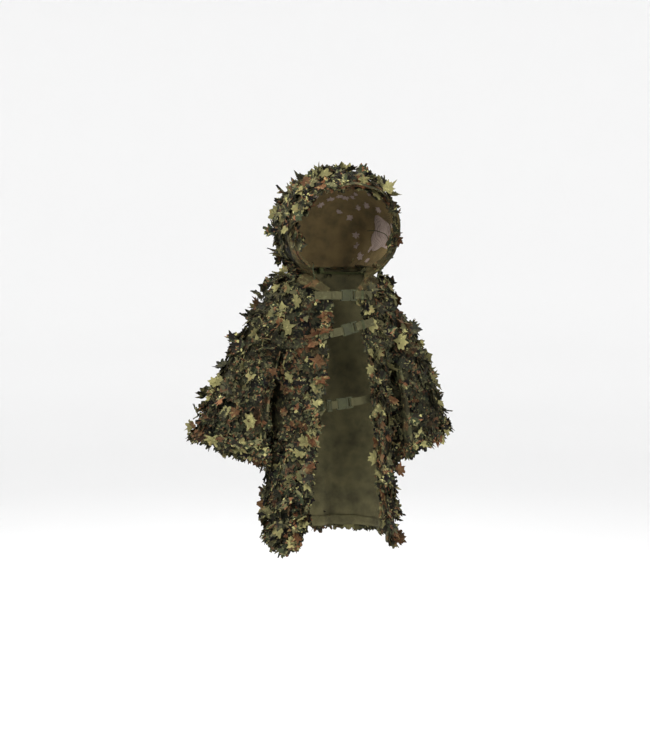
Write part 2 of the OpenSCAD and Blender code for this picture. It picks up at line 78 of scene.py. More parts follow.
# ---------------------------------------------------------------- sizes, in metres and degrees
AXIS_Y = MOUNTS["wearer_neck"][1]  # the wearer's upright axis, in front of the hang loop
SHOULDER_W, ARMPIT_W, WAIST_W, HEM_W = 0.214, 0.198, 0.203, 0.206  # half widths
CHEST_D, WAIST_D, HEM_D = 0.128, 0.140, 0.160  # half depths
NECK_W, NECK_FRONT, NECK_BACK, NECK_DROP = 0.112, 0.118, 0.096, 0.075
CHEST_Z, ARMPIT_Z, WAIST_Z = -0.112, -0.272, -0.452
HEM_FRONT_Z, HEM_SIDE_Z, HEM_VENT_Z, HEM_BACK_Z = -0.805, -0.878, -0.848, -0.846
GAP_TOP, GAP_FLARE = 0.046, 0.085  # half width of the front opening
SHOULDER_LEVEL, ARMHOLE_CUT = 0.68, 30.0
ARMPIT_LEVEL = 1 + (ARMPIT_Z - CHEST_Z) / (WAIST_Z - CHEST_Z)
BAND_LEVEL, TAPE_LEVEL, COLLAR_ANGLE = 0.2, 0.14, 58.0
COLLAR_LEVEL = 0.40  # where the smooth collar cloth ends under the leaves
CLOTH_T = 0.0012  # thickness of a cloth sheet
LINING_IN = 0.0045  # how far the lining hangs inside the cover
HOOD_W, HOOD_MID_Z, HOOD_H, HOOD_RIM = 0.186, 0.126, 0.158, 140.0
HOOD_SEAM_W, HOOD_SEAM_Z, HOOD_RIM_OUT = 0.046, 0.008, 0.124


def mix(a, b, t):
    return a + (b - a) * t


def ease(t):
    t = np.clip(t, 0.0, 1.0)
    return t * t * (3 - 2 * t)


def sin_d(a):
    return np.sin(np.radians(a))


def cos_d(a):
    return np.cos(np.radians(a))


def stack(x, y, z):
    """One array of points from arrays of coordinates, with y counted from the wearer's axis."""
    x, y, z = np.broadcast_arrays(x, y, z)
    return np.stack([x, y + AXIS_Y, z], axis=-1)


# ---------------------------------------------------------------- the garment's surfaces
def half_w(z):
    return np.interp(z, [HEM_SIDE_Z, WAIST_Z, ARMPIT_Z, CHEST_Z], [HEM_W, WAIST_W, ARMPIT_W, SHOULDER_W])


def half_d(z):
    return np.interp(z, [HEM_SIDE_Z, WAIST_Z, CHEST_Z], [HEM_D, WAIST_D, CHEST_D])


def out_share(t):
    return 0.3 * t + 0.7 * sin_d(90 * t)


def down_share(t):
    return 0.35 * t + 0.65 * (1 - cos_d(90 * t))


def hem_z(th):
    front = mix(HEM_FRONT_Z, HEM_SIDE_Z, ease((th - 35) / 27))
    side = mix(HEM_SIDE_Z, HEM_VENT_Z, ease((th - 62) / 36))
    back = mix(HEM_VENT_Z, HEM_BACK_Z, ease((th - 98) / 60))
    return np.where(th < 62, front, np.where(th < 98, side, back))


def jacket(th, t):
    """Point at angle th, front 0 to back 180, at level 0 neck, 1 chest, 2 waist, 3 hem."""
    yoke = np.clip(t, 0, 1)
    neck_d = np.where(cos_d(th) > 0, NECK_FRONT, NECK_BACK)
    neck_z = -NECK_DROP * np.maximum(cos_d(th), 0) ** 3
    o, d = out_share(yoke), down_share(yoke)
    z = np.where(
        t <= 1, mix(neck_z, CHEST_Z, d),
        np.where(t <= 2, mix(CHEST_Z, WAIST_Z, t - 1), mix(WAIST_Z, hem_z(th), t - 2)),
    )
    w = np.where(t <= 1, mix(NECK_W, SHOULDER_W, o), half_w(z))
    dep = np.where(t <= 1, mix(neck_d, CHEST_D, o), half_d(z))
    return stack(w * sin_d(th), -dep * cos_d(th), z), w


def front_gap(z):
    return GAP_TOP + GAP_FLARE * np.maximum(0, (-0.06 - z) / -(HEM_FRONT_Z + 0.06)) ** 0.7


def front_angle(t, inset):
    """Angle of the front edge at a level, inset along the cloth."""
    z = np.where(t <= 1, mix(-0.06, CHEST_Z, t), mix(CHEST_Z, WAIST_Z, np.clip(t - 1, 0, 1)))
    z = np.where(t > 2, mix(WAIST_Z, HEM_FRONT_Z, t - 2), z)
    w = np.where(t <= 1, mix(NECK_W, SHOULDER_W, out_share(np.clip(t, 0, 1))), half_w(z))
    return np.degrees(np.arcsin((front_gap(z) + inset) / w))


def side_cut(t):
    share = np.clip((t - SHOULDER_LEVEL) / (ARMPIT_LEVEL - SHOULDER_LEVEL), 0, 1)
    return ARMHOLE_CUT * sin_d(180 * share)


def front_panel(u, v):
    t = mix(BAND_LEVEL, 3, v)
    side = np.where(t <= 2, 90 - side_cut(t), 90 + 4.5 * ease((t - 2) / 0.3))
    return jacket(mix(front_angle(t, 0.0), side, u), t)[0]


def collar_band(u, v):
    t = mix(0, COLLAR_LEVEL, v)
    return jacket(mix(front_angle(t, 0.0), COLLAR_ANGLE + 4, u), t)[0]


def back_panel(u, v):
    t = mix(0.0, 3, v)
    start = mix(COLLAR_ANGLE + 2, 90, ease(t / 0.25))
    side = np.where(t <= 2, start + side_cut(t), 90 + 6.5 * ease((t - 2) / 0.3))
    th = mix(side, 360 - side, u)
    mirrored = th > 180
    points = jacket(np.where(mirrored, 360 - th, th), t)[0]
    points[..., 0] *= np.where(mirrored, -1, 1)
    return points


def sleeve(u, v):
    """Left sleeve: u goes round from the outside over the back, v from the armhole to the hem."""
    phi = 360 * u
    top = np.stack([mix(0.192, 0.428, v), mix(-0.058, -0.525, v)], -1)
    top = top + np.array([0.016, 0.010]) * sin_d(180 * v)[..., None]
    under = np.stack([mix(0.214, 0.246, v), mix(ARMPIT_Z - 0.006, -0.606, v)], -1)
    c, e = (top + under) / 2, (top - under) / 2
    depth = mix(0.080, 0.122, ease(v))
    dip = 0.022 * (1 - v) ** 3 * sin_d(phi) ** 2
    swing = 0.045 * v * np.maximum(0, -sin_d(phi)) ** 1.5
    x = c[..., 0] + e[..., 0] * cos_d(phi) - dip - swing
    return stack(x, 0.045 * v + depth * sin_d(phi), c[..., 1] + e[..., 1] * cos_d(phi))


def hood_rim(psi):
    z = HOOD_MID_Z + HOOD_H * cos_d(psi)
    return np.stack([HOOD_W * sin_d(psi), -HOOD_RIM_OUT - 0.12 * z + AXIS_Y, z], -1)


def hood(u, v):
    """u goes round the face opening from the wearer's left to the right, v from the rim to the nape."""
    psi = mix(HOOD_RIM, -HOOD_RIM, u)
    c = np.maximum(cos_d(psi * 90 / HOOD_RIM), 1e-6)
    rim = hood_rim(psi)
    seam = stack(HOOD_SEAM_W * psi / HOOD_RIM, NECK_BACK - 0.001, HOOD_SEAM_Z + 0 * psi)
    leave = np.stack([0.012 * sin_d(psi), 0.060 + 0.057 * np.sqrt(c), 0.005 + 0.072 * c * c], -1)
    arrive = np.stack([0.118 * sin_d(psi), -0.008 + 0.142 * c ** 0.4, 0.008 + 0.178 * c ** 0.8], -1)
    w = v[..., None]
    return (rim * (1 - w) ** 3 + (rim + leave) * 3 * w * (1 - w) ** 2
            + (seam + arrive) * 3 * w * w * (1 - w) + seam * w ** 3)


# ---------------------------------------------------------------- cloth grids
def unit(a):
    return a / np.maximum(np.linalg.norm(a, axis=-1, keepdims=True), 1e-12)


class Cloth:
    """A draped sheet: a grid of points with outward normals, closed on itself in u or not."""

    def __init__(self, surface, nu, nv, closed=False, side=1):
        u, v = np.meshgrid(np.linspace(0, 1, nu + 1), np.linspace(0, 1, nv + 1), indexing="ij")
        self.u, self.v, self.closed, self.side = u, v, closed, side
        self.points = surface(u, v) * np.array([side, 1, 1])
        self.renew()

    def renew(self):
        p = self.points
        if self.closed:
            du = np.roll(p[:-1], -1, 0) - np.roll(p[:-1], 1, 0)
            du = np.concatenate([du, du[:1]])
        else:
            du = np.gradient(p, axis=0)
        self.down = unit(np.gradient(p, axis=1))
        self.normals = unit(np.cross(self.down, du)) * self.side

    def push(self, amount):
        """Moves each point along its normal."""
        self.points = self.points + self.normals * amount[..., None]
        if self.closed:
            self.points[-1] = self.points[0]
        self.renew()
        return self


def ripples(points, waves, longest, shortest, seed):
    """Smooth wrinkles: a sum of plane waves with random directions, between -1 and 1."""
    rng = np.random.default_rng(seed)
    total = np.zeros(points.shape[:-1])
    for _ in range(waves):
        way = unit(rng.normal(size=3) * np.array([1.0, 1.0, 0.55]))
        length = rng.uniform(shortest, longest)
        total += np.sin(points @ way * 2 * math.pi / length + rng.uniform(0, 2 * math.pi))
    return total / waves ** 0.5 / 1.6


def on_cloth(cloth, u, v, off):
    """Points that lie on a cloth at (u, v), moved off along its outward normal."""
    u, v, off = np.broadcast_arrays(u, v, off)
    nu, nv = cloth.points.shape[0] - 1, cloth.points.shape[1] - 1
    a, b = np.clip(u, 0, 1) * nu, np.clip(v, 0, 1) * nv
    i, j = np.minimum(a.astype(int), nu - 1), np.minimum(b.astype(int), nv - 1)
    fu, fv = (a - i).ravel(), (b - j).ravel()
    i, j = i.ravel(), j.ravel()
    p = bilinear(cloth.points, i, j, fu, fv)
    n = unit(bilinear(cloth.normals, i, j, fu, fv))
    return (p + n * off.ravel()[:, None]).reshape(u.shape + (3,))


def run_length(cloth, axis, at):
    """Length of the cloth's lines along an axis (0 = u, 1 = v), looked up at places across them."""
    steps = np.linalg.norm(np.diff(cloth.points, axis=axis), axis=-1).sum(axis=axis)
    return np.interp(at, np.linspace(0, 1, len(steps)), steps)


def binding(name, cloth, edge, width, mats, count=90, span=(0, 1), outside=0.0019, inside=0.0066):
    """A strip of cloth folded round one edge of a cloth: u0, u1, v0 or v1."""
    along_u, far_end = edge[0] == "v", edge[1] == "1"

    def surface(u, v):
        s, w = (u, v) if along_u else (v, u)
        w = w if far_end else 1 - w
        s = mix(span[0], span[1], s)
        wide = width(s) if callable(width) else width
        reach = wide * np.abs(1 - 2 * w) ** 0.8 - 0.0008 * np.sin(math.pi * w)
        off = mix(outside, -inside, ease((w - 0.38) / 0.24))
        share = reach / run_length(cloth, 1 if along_u else 0, s)
        t = 1 - share if far_end else share
        return on_cloth(cloth, s, t, off) if along_u else on_cloth(cloth, t, s, off)

    fold_steps = 14
    nu, nv = (count, fold_steps) if along_u else (fold_steps, count)
    strip = Cloth(surface, nu, nv, closed=cloth.closed and along_u)
    if cloth.side < 0:
        strip.side = -1
        strip.renew()
    strip.push(0.0006 * ripples(strip.points, 8, 0.05, 0.015, count))
    ob = sheet(name, strip, 0.0, 0.0009, mats)
    print_on(ob)
    return ob


def sheet(name, cloth, near, far, mats):
    """Closed thin solid between two distances from the cloth. mats: outside, inside."""
    p, n = cloth.points, cloth.normals
    if cloth.closed:
        p, n = p[:-1], n[:-1]
    nu, nv = p.shape[0], p.shape[1]
    grid = np.arange(nu * nv).reshape(nu, nv)
    if cloth.closed:
        grid = np.concatenate([grid, grid[:1]])
    count = nu * nv
    a, b, c, d = grid[:-1, :-1], grid[1:, :-1], grid[1:, 1:], grid[:-1, 1:]
    inner = np.stack([a, b, c, d], -1).reshape(-1, 4)
    outer = np.stack([a, d, c, b], -1).reshape(-1, 4) + count

    def rim(line, flip):
        i, j = line[:-1], line[1:]
        order = [i, i + count, j + count, j] if flip else [i, j, j + count, i + count]
        return np.stack(order, -1).reshape(-1, 4)

    sides = [rim(grid[:, 0], True), rim(grid[:, -1], False)]
    if not cloth.closed:
        sides += [rim(grid[0], False), rim(grid[-1], True)]
    faces = np.concatenate([outer, inner] + sides)
    if cloth.side < 0:
        faces = faces[:, ::-1]
    verts = np.concatenate([(p + n * near).reshape(-1, 3), (p + n * far).reshape(-1, 3)])
    which = np.concatenate([np.zeros(len(outer)), np.ones(len(inner)), np.zeros(sum(map(len, sides)))])
    return mesh_object(name, verts, faces, mats, which.astype(int))


def mesh_object(name, verts, faces, mats, which=None, smooth=True):
    mesh = bpy.data.meshes.new(name)
    verts = np.asarray(verts, np.float32)
    faces = np.asarray(faces, np.int32)
    size = faces.shape[1]
    mesh.vertices.add(len(verts))
    mesh.vertices.foreach_set("co", verts.ravel())
    mesh.loops.add(faces.size)
    mesh.loops.foreach_set("vertex_index", faces.ravel())
    mesh.polygons.add(len(faces))
    mesh.polygons.foreach_set("loop_start", np.arange(0, faces.size, size, dtype=np.int32))
    mesh.polygons.foreach_set("loop_total", np.full(len(faces), size, np.int32))
    for m in mats:
        mesh.materials.append(m)
    if which is not None:
        mesh.polygons.foreach_set("material_index", which.astype(np.int32))
    mesh.polygons.foreach_set("use_smooth", np.full(len(faces), smooth))
    mesh.update()
    mesh.validate()
    ob = bpy.data.objects.new(name, mesh)
    bpy.context.scene.collection.objects.link(ob)
    return ob


def put_attribute(ob, name, kind, values):
    attribute = ob.data.attributes.new(name, kind, "POINT")
    key = "vector" if kind == "FLOAT_VECTOR" else "value"
    attribute.data.foreach_set(key, np.asarray(values, np.float32).ravel())


def print_on(ob, tone=1.0):
    """Gives a cloth piece its place on the printed camouflage, and its tone."""
    co = np.empty(len(ob.data.vertices) * 3, np.float32)
    ob.data.vertices.foreach_get("co", co)
    put_attribute(ob, "print_co", "FLOAT_VECTOR", co)
    put_attribute(ob, "tone", "FLOAT", np.full(len(ob.data.vertices), tone))
    put_attribute(ob, "hue", "FLOAT", np.full(len(ob.data.vertices), 0.5))


def tube(name, line, radius, mats, around=8):
    """Closed round cord along a line of points."""
    line = np.asarray(line, float)
    way = unit(np.gradient(line, axis=0))
    side = unit(np.cross(way, np.array([0.31, 0.17, 0.93])))
    up = np.cross(way, side)
    a = np.linspace(0, 2 * math.pi, around, endpoint=False)
    ring = side[:, None] * np.cos(a)[None, :, None] + up[:, None] * np.sin(a)[None, :, None]
    taper = np.ones(len(line))
    taper[[0, -1]] = 0.6
    verts = (line[:, None] + ring * (radius * taper)[:, None, None]).reshape(-1, 3)
    verts = np.concatenate([verts, line[:1], line[-1:]])
    i, k = np.meshgrid(np.arange(len(line) - 1), np.arange(around), indexing="ij")
    k2 = (k + 1) % around
    a, b, c, d = i * around + k, i * around + k2, (i + 1) * around + k2, (i + 1) * around + k
    walls = np.concatenate([np.stack([a, b, c], -1).reshape(-1, 3), np.stack([a, c, d], -1).reshape(-1, 3)])
    k = np.arange(around)
    k2 = (k + 1) % around
    first, last = len(verts) - 2, len(verts) - 1
    base = (len(line) - 1) * around
    caps = np.concatenate([np.stack([np.full(around, first), k2, k], -1),
                           np.stack([np.full(around, last), base + k, base + k2], -1)])
    ob = mesh_object(name, verts, np.concatenate([walls, caps]), mats)
    print_on(ob)
    return ob


# ---------------------------------------------------------------- leaves
# Half outline of a maple-like leaf: angle from the tip in degrees, radius as a share of the tip's
HALF_LEAF = [(10, 0.84), (19, 0.70), (28, 0.57), (39, 0.74), (48, 0.91), (59, 0.76),
             (73, 0.57), (90, 0.70), (105, 0.80), (125, 0.56), (151, 0.38)]
LEAF_CENTRE = 0.46  # how far along the leaf its lobes meet, as a share of its length


def leaf_outline(spread, narrow, fullness):
    """Outline points round the leaf from its tip, as x across and y along, for a leaf 1 long."""
    tip = 1 - LEAF_CENTRE
    right = [(min(a * spread, 168), mix(r, 0.72, fullness) * tip) for a, r in HALF_LEAF]
    polar = [(0.0, tip)] + right + [(180.0, LEAF_CENTRE)] + [(-a, r) for a, r in reversed(right)]
    points = [(r * sin_d(a) * narrow * 1.25, LEAF_CENTRE + r * cos_d(a)) for a, r in polar]
    return np.array(points)


LEAF_KINDS = [leaf_outline(1.0, 1.0, 0.05), leaf_outline(0.92, 0.80, 0.22),
              leaf_outline(1.04, 1.12, 0.32), leaf_outline(0.97, 0.92, -0.12)]
LEAF_T = 0.0009
HUE_PLAIN = (0.08, 0.86)  # hues of leaves that lie flat, most of which keep the plain print
PRINT_FINE = 1.2  # how much smaller the print is on leaves that lie flat


def leaf_faces(n):
    ring = np.arange(1, n + 1)
    after = np.roll(ring, -1)
    top = np.stack([np.zeros(n, int), after, ring], -1)
    low = top[:, ::-1] + n + 1
    side_a = np.stack([ring, after, ring + n + 1], -1)
    side_b = np.stack([after, after + n + 1, ring + n + 1], -1)
    return np.concatenate([top, low, side_a, side_b])


# How far leaf tips may stand past the frame's own box
LEAF_LOW = np.array(cad_low) - np.array([0.022, 0.014, 0.020])
LEAF_HIGH = np.array(cad_high) + np.array([0.022, 0.014, 0.018])


class Leaves:
    """Collects cut leaves and makes one piece of them. Each leaf is a thin curled solid."""

    def __init__(self, name):
        self.name, self.count = name, 0
        self.verts, self.prints, self.tones, self.hues = [], [], [], []

    def add(self, pos, normal, heading, size, tilt, curl, cup, tone, rng, fine=1.0, hue_shift=0.0):
        n = len(pos)
        if n == 0:
            return
        kinds = rng.integers(0, len(LEAF_KINDS), n)
        outline = np.stack(LEAF_KINDS)[kinds]
        middle = np.broadcast_to(np.array([0.0, LEAF_CENTRE]), (n, 1, 2))
        flat = np.concatenate([middle, outline], axis=1)
        lobes = 1 + rng.normal(0, 0.10, flat.shape[:2])[..., None]
        heart = np.array([0.0, LEAF_CENTRE])
        flat = heart + (flat - heart) * lobes
        jag = rng.normal(0, 0.018, flat.shape)
        flat = (flat + jag) * size[:, None, None]
        x, y = flat[..., 0], flat[..., 1]
        ripple = rng.normal(0, 0.035, x.shape) * size[:, None]
        curl, cup = np.clip(curl, -5, 7), np.clip(cup, -0.6, 0.7)
        z = curl[:, None] * y * y + cup[:, None] * np.abs(x) + ripple
        z[:, 0] -= 0.04 * size
        z = np.where(z < 0, 0.3 * z, z)
        side = unit(np.cross(heading, normal))
        along = unit(np.cross(normal, side))
        lift, lay = np.sin(tilt)[:, None], np.cos(tilt)[:, None]
        ahead = along * lay + normal * lift
        up = normal * lay - along * lift
        half = LEAF_T / 2
        layers = []
        for dz in (half, -half):
            layers.append(pos[:, None] + x[..., None] * side[:, None] + y[..., None] * ahead[:, None]
                          + (z + dz)[..., None] * up[:, None])
        verts = np.concatenate(layers, axis=1)
        past = np.clip(verts, LEAF_LOW, LEAF_HIGH) - verts
        push = np.where(past.max(1) > -past.min(1), past.max(1), past.min(1))
        self.verts.append(verts + push[:, None])
        own = np.concatenate([flat, flat], axis=1) * fine
        offset = rng.uniform(-2, 2, (n, 1, 3))
        hue = rng.random(n) if fine == 1.0 else rng.uniform(HUE_PLAIN[0], HUE_PLAIN[1], n)
        self.hues.append(np.repeat(np.clip(hue + hue_shift, 0, 1)[:, None], own.shape[1], 1))
        self.prints.append(np.concatenate([own, np.zeros_like(own[..., :1])], -1) + offset)
        self.tones.append(np.repeat(tone[:, None], own.shape[1], 1))
        self.count += n

    def make(self, mats):
        verts = np.concatenate(self.verts)
        per = verts.shape[1]
        faces = leaf_faces(per // 2 - 1)
        all_faces = (faces[None] + (np.arange(self.count) * per)[:, None, None]).reshape(-1, 3)
        # Top faces take the first material; undersides and cut rims take the second, which on leaf pieces is
        # a painted-shade copy of the print.
        which = np.tile((np.arange(len(faces)) >= len(faces) // 4).astype(int), self.count)
        ob = mesh_object(self.name, verts.reshape(-1, 3), all_faces, mats, which, smooth=False)
        put_attribute(ob, "print_co", "FLOAT_VECTOR", np.concatenate(self.prints))
        put_attribute(ob, "tone", "FLOAT", np.concatenate(self.tones))
        put_attribute(ob, "hue", "FLOAT", np.concatenate(self.hues))
        self.per = per
        return ob


def keep_leaves_whole(ob, per):
    """Each leaf turns as one where its cloth bends at a joint, so it never stretches."""
    data = ob.data.attributes["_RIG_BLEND"].data
    w = np.empty(len(data), np.float32)
    data.foreach_get("value", w)
    w = w.reshape(-1, per)
    stem = 1 + len(HALF_LEAF) + 1
    data.foreach_set("value", np.repeat(w[:, stem:stem + 1], per, 1).ravel())


def bilinear(field, i, j, fu, fv):
    fu, fv = fu[:, None], fv[:, None]
    return (field[i, j] * (1 - fu) * (1 - fv) + field[i + 1, j] * fu * (1 - fv)
            + field[i, j + 1] * (1 - fu) * fv + field[i + 1, j + 1] * fu * fv)


def scatter(leaves, cloth, per_m2, density, size, tilt, seed, spin=0.9, tone=1.0, row=0.0, lift=0.006,
            fine=1.0):
    """Sews leaves all over a cloth. density(u, v) thins them, tilt is (low, high) degrees."""
    rng = np.random.default_rng(seed)
    p = cloth.points
    area = np.linalg.norm(np.cross(p[1:, :-1] - p[:-1, :-1], p[:-1, 1:] - p[:-1, :-1]), axis=-1)
    mid_u = (cloth.u[1:, 1:] + cloth.u[:-1, :-1]) / 2
    mid_v = (cloth.v[1:, 1:] + cloth.v[:-1, :-1]) / 2
    share = (area * np.maximum(density(mid_u, mid_v), 0)).ravel()
    count = int(share.sum() * per_m2)
    cell = rng.choice(len(share), count, p=share / share.sum())
    i, j = np.divmod(cell, area.shape[1])
    if row:
        lines = max(2, int(run_length(cloth, 1, 0.5) / row))
        line = np.floor((j + 0.5) / area.shape[1] * lines)
        j = ((line + 0.5 + rng.normal(0, 0.13, count)) / lines * area.shape[1]).astype(int)
        j = np.clip(j, 0, area.shape[1] - 1)
    fu, fv = rng.random(count), rng.random(count)
    pos = bilinear(p, i, j, fu, fv)
    normal = unit(bilinear(cloth.normals, i, j, fu, fv))
    down = unit(bilinear(cloth.down, i, j, fu, fv))
    across = np.cross(down, normal)
    turn = rng.normal(0, spin, count)[:, None]
    heading = down * np.cos(turn) + across * np.sin(turn)
    length = rng.uniform(size[0], size[1], count)
    low, high = np.radians(tilt[0]), np.radians(tilt[1])
    lean = low + (high - low) * rng.random(count) ** 1.6
    pos = pos + normal * (0.0018 + lift * rng.random(count))[:, None] - heading * (length * 0.3)[:, None]
    curl, cup = rng.normal(1.5, 4.5, count), rng.normal(0, 0.30, count)
    patch = ripples(pos, 7, 0.34, 0.12, 900)
    shade = np.clip(rng.normal(tone, 0.22, count) * (1 + 0.30 * patch), 0.3, 1.9)
    leaves.add(pos, normal, heading, length, lean, curl, cup, shade, rng, fine, 0.16 * patch)


def fringe(leaves, line, normal, away, spacing, size, droop, seed, rows=1, tone=1.1):
    """Sews leaves along an edge so that they hang past it. away points off the cloth."""
    rng = np.random.default_rng(seed)
    step = np.linalg.norm(np.diff(line, axis=0), axis=1)
    run = np.concatenate([[0], np.cumsum(step)])
    count = max(2, int(run[-1] / spacing)) * rows
    at = np.sort(rng.uniform(0, run[-1], count))
    pick = lambda field: np.stack([np.interp(at, run, field[:, k]) for k in range(3)], -1)
    pos, n, out = pick(line), unit(pick(normal)), unit(pick(away))
    across = np.cross(out, n)
    turn = rng.normal(0, 0.5, count)[:, None]
    heading = unit(out * np.cos(turn) + across * np.sin(turn) + np.array([0, 0, -droop]))
    length = rng.uniform(size[0], size[1], count)
    pos = pos - heading * (length * rng.uniform(0.35, 0.75, count))[:, None]
    pos = pos + n * (0.002 + 0.008 * rng.random(count))[:, None]
    lean = np.radians(rng.normal(8, 16, count))
    leaves.add(pos, n, heading, length, lean, rng.normal(1.5, 4.5, count), rng.normal(0, 0.30, count),
               np.clip(rng.normal(tone, 0.3, count), 0.5, 2.0), rng)


# ---------------------------------------------------------------- materials
def hexa(code):
    """Linear colour from a hex code."""
    parts = [int(code[i:i + 2], 16) / 255 for i in (0, 2, 4)]
    return [c / 12.92 if c <= 0.04045 else ((c + 0.055) / 1.055) ** 2.4 for c in parts] + [1.0]


class Nodes:
    """Short hand for building a material's node tree."""

    def __init__(self, name):
        self.mat = bpy.data.materials.new(name)
        self.mat.use_nodes = True
        self.tree = self.mat.node_tree
        self.shader = self.tree.nodes["Principled BSDF"]

    def add(self, kind, **settings):
        node = self.tree.nodes.new(kind)
        for key, value in settings.items():
            setattr(node, key, value)
        return node

    def link(self, a, b):
        self.tree.links.new(a, b)

    def attribute(self, name):
        return self.add("ShaderNodeAttribute", attribute_name=name)

    def noise(self, vector, scale, detail=2.0, rough=0.5, shift=0.0, distortion=0.0):
        node = self.add("ShaderNodeTexNoise")
        node.inputs["Scale"].default_value = scale
        node.inputs["Detail"].default_value = detail
        node.inputs["Roughness"].default_value = rough
        node.inputs["Distortion"].default_value = distortion
        move = self.add("ShaderNodeVectorMath", operation="ADD")
        move.inputs[1].default_value = (shift, shift * 0.7, -shift)
        self.link(vector, move.inputs[0])
        self.link(move.outputs[0], node.inputs["Vector"])
        return node.outputs["Fac"]

    def ramp(self, value, low, high):
        node = self.add("ShaderNodeMapRange")
        node.inputs["From Min"].default_value = low
        node.inputs["From Max"].default_value = high
        self.link(value, node.inputs["Value"])
        return node.outputs["Result"]

    def mix(self, factor, a, b, blend="MIX"):
        node = self.add("ShaderNodeMix", data_type="RGBA", blend_type=blend)
        for socket, value in ((node.inputs["Factor"], factor), (node.inputs["A"], a), (node.inputs["B"], b)):
            if hasattr(value, "links"):
                self.link(value, socket)
            else:
                socket.default_value = value
        return node.outputs["Result"]

    def maths(self, operation, a, b=None):
        node = self.add("ShaderNodeMath", operation=operation)
        for socket, value in zip(node.inputs, (a, b)):
            if value is None:
                continue
            if hasattr(value, "links"):
                self.link(value, socket)
            else:
                socket.default_value = value
        return node.outputs[0]

    def wave(self, vector, scale, axis):
        node = self.add("ShaderNodeTexWave", wave_type="BANDS", bands_direction=axis)
        node.inputs["Scale"].default_value = scale
        self.link(vector, node.inputs["Vector"])
        return node.outputs["Fac"]

    def bump(self, height, strength, distance):
        node = self.add("ShaderNodeBump")
        node.inputs["Strength"].default_value = strength
        node.inputs["Distance"].default_value = distance
        self.link(height, node.inputs["Height"])
        self.link(node.outputs["Normal"], self.shader.inputs["Normal"])


def camo_cloth(name, dim=1.0, faded=0.0, fade_code="777252"):
    """Spotted camouflage print: five colours in blobs and flecks, on a fine weave."""
    m = Nodes(name)
    co = m.attribute("print_co").outputs["Vector"]
    colour = hexa("5f5c40")
    layers = [("2c3222", 36, 0.485, 0.0), ("6f4c34", 40, 0.575, 3.1), ("110e0f", 44, 0.530, 7.7),
              ("9d9764", 46, 0.618, 12.3)]
    for code, scale, edge, shift in layers:
        blob = m.noise(co, scale, 2.0, 0.6, shift)
        fleck = m.noise(co, scale * 3.2, 1.0, 0.5, shift + 1.7)
        both = m.maths("ADD", m.maths("MULTIPLY", blob, 0.86), m.maths("MULTIPLY", fleck, 0.14))
        colour = m.mix(m.ramp(both, edge - 0.008, edge + 0.004), colour, hexa(code))
    hue = m.attribute("hue").outputs["Fac"]
    colour = m.mix(m.maths("MULTIPLY", m.ramp(hue, 0.80, 0.84), 0.62), colour, hexa("928c5c"))
    colour = m.mix(m.maths("MULTIPLY", m.ramp(hue, 0.14, 0.10), 0.60), colour, hexa("70492f"))
    colour = m.mix(m.maths("MULTIPLY", m.ramp(m.maths("ABSOLUTE", m.maths("SUBTRACT", hue, 0.30)),
                                              0.10, 0.08), 0.55), colour, hexa("26251f"))
    tone = m.attribute("tone").outputs["Fac"]
    grey = m.add("ShaderNodeCombineColor")
    shade = m.maths("MULTIPLY", tone, dim)
    for k in range(3):
        m.link(shade, grey.inputs[k])
    colour = m.mix(1.0, colour, grey.outputs["Color"], "MULTIPLY")
    fade = m.ramp(m.noise(co, 9, 2.0, 0.5, 21.0), 0.4, 0.8)
    worn = m.maths("ADD", m.maths("MULTIPLY", fade, 0.12), faded)
    colour = m.mix(worn, colour, hexa(fade_code))
    m.link(colour, m.shader.inputs["Base Color"])
    weave = m.maths("ADD", m.wave(co, 260, "X"), m.wave(co, 260, "Y"))
    crease = m.noise(co, 140, 3.0, 0.6)
    m.bump(m.maths("ADD", m.maths("MULTIPLY", weave, 0.35), crease), 0.5, 0.0012)
    m.link(m.ramp(crease, -0.6, 1.2), m.shader.inputs["Roughness"])
    m.shader.inputs["Specular IOR Level"].default_value = 0.07
    return m.mat


def mesh_cloth(name, code, dark):
    """Thin knitted lining: open grid of small holes over a mottled olive."""
    m = Nodes(name)
    co = m.add("ShaderNodeTexCoord").outputs["Object"]
    cell = m.maths("MULTIPLY", m.wave(co, 150, "X"), m.wave(co, 150, "Z"))
    mottle = m.noise(co, 18, 3.0, 0.6)
    colour = m.mix(m.ramp(mottle, 0.35, 0.7), hexa(code), hexa(dark))
    colour = m.mix(m.ramp(cell, 0.55, 0.9), colour, hexa("17140c"))
    m.link(colour, m.shader.inputs["Base Color"])
    m.bump(m.maths("ADD", cell, m.maths("MULTIPLY", mottle, 2.0)), 0.5, 0.0015)
    m.shader.inputs["Roughness"].default_value = 0.88
    m.shader.inputs["Specular IOR Level"].default_value = 0.2
    return m.mat


def webbing_cloth(name, code, dark, source="strap_co"):
    """Woven nylon tape: cross ribs and fine threads along the strap, with rubbed edges."""
    m = Nodes(name)
    if source:
        co = m.attribute(source).outputs["Vector"]
    else:
        co = m.add("ShaderNodeTexCoord").outputs["Object"]
    ribs, picks = m.wave(co, 190, "X"), m.wave(co, 240, "Y")
    weave = m.maths("ADD", m.maths("MULTIPLY", ribs, 0.7), m.maths("MULTIPLY", picks, 0.5))
    wear = m.noise(co, 45, 4.0, 0.65)
    colour = m.mix(m.ramp(weave, 0.1, 1.1), hexa(dark), hexa(code))
    colour = m.mix(m.maths("MULTIPLY", m.ramp(wear, 0.55, 0.8), 0.5), colour, hexa("6f7050"))
    m.link(colour, m.shader.inputs["Base Color"])
    m.bump(weave, 0.6, 0.0010)
    m.shader.inputs["Roughness"].default_value = 0.72
    m.shader.inputs["Specular IOR Level"].default_value = 0.12
    return m.mat


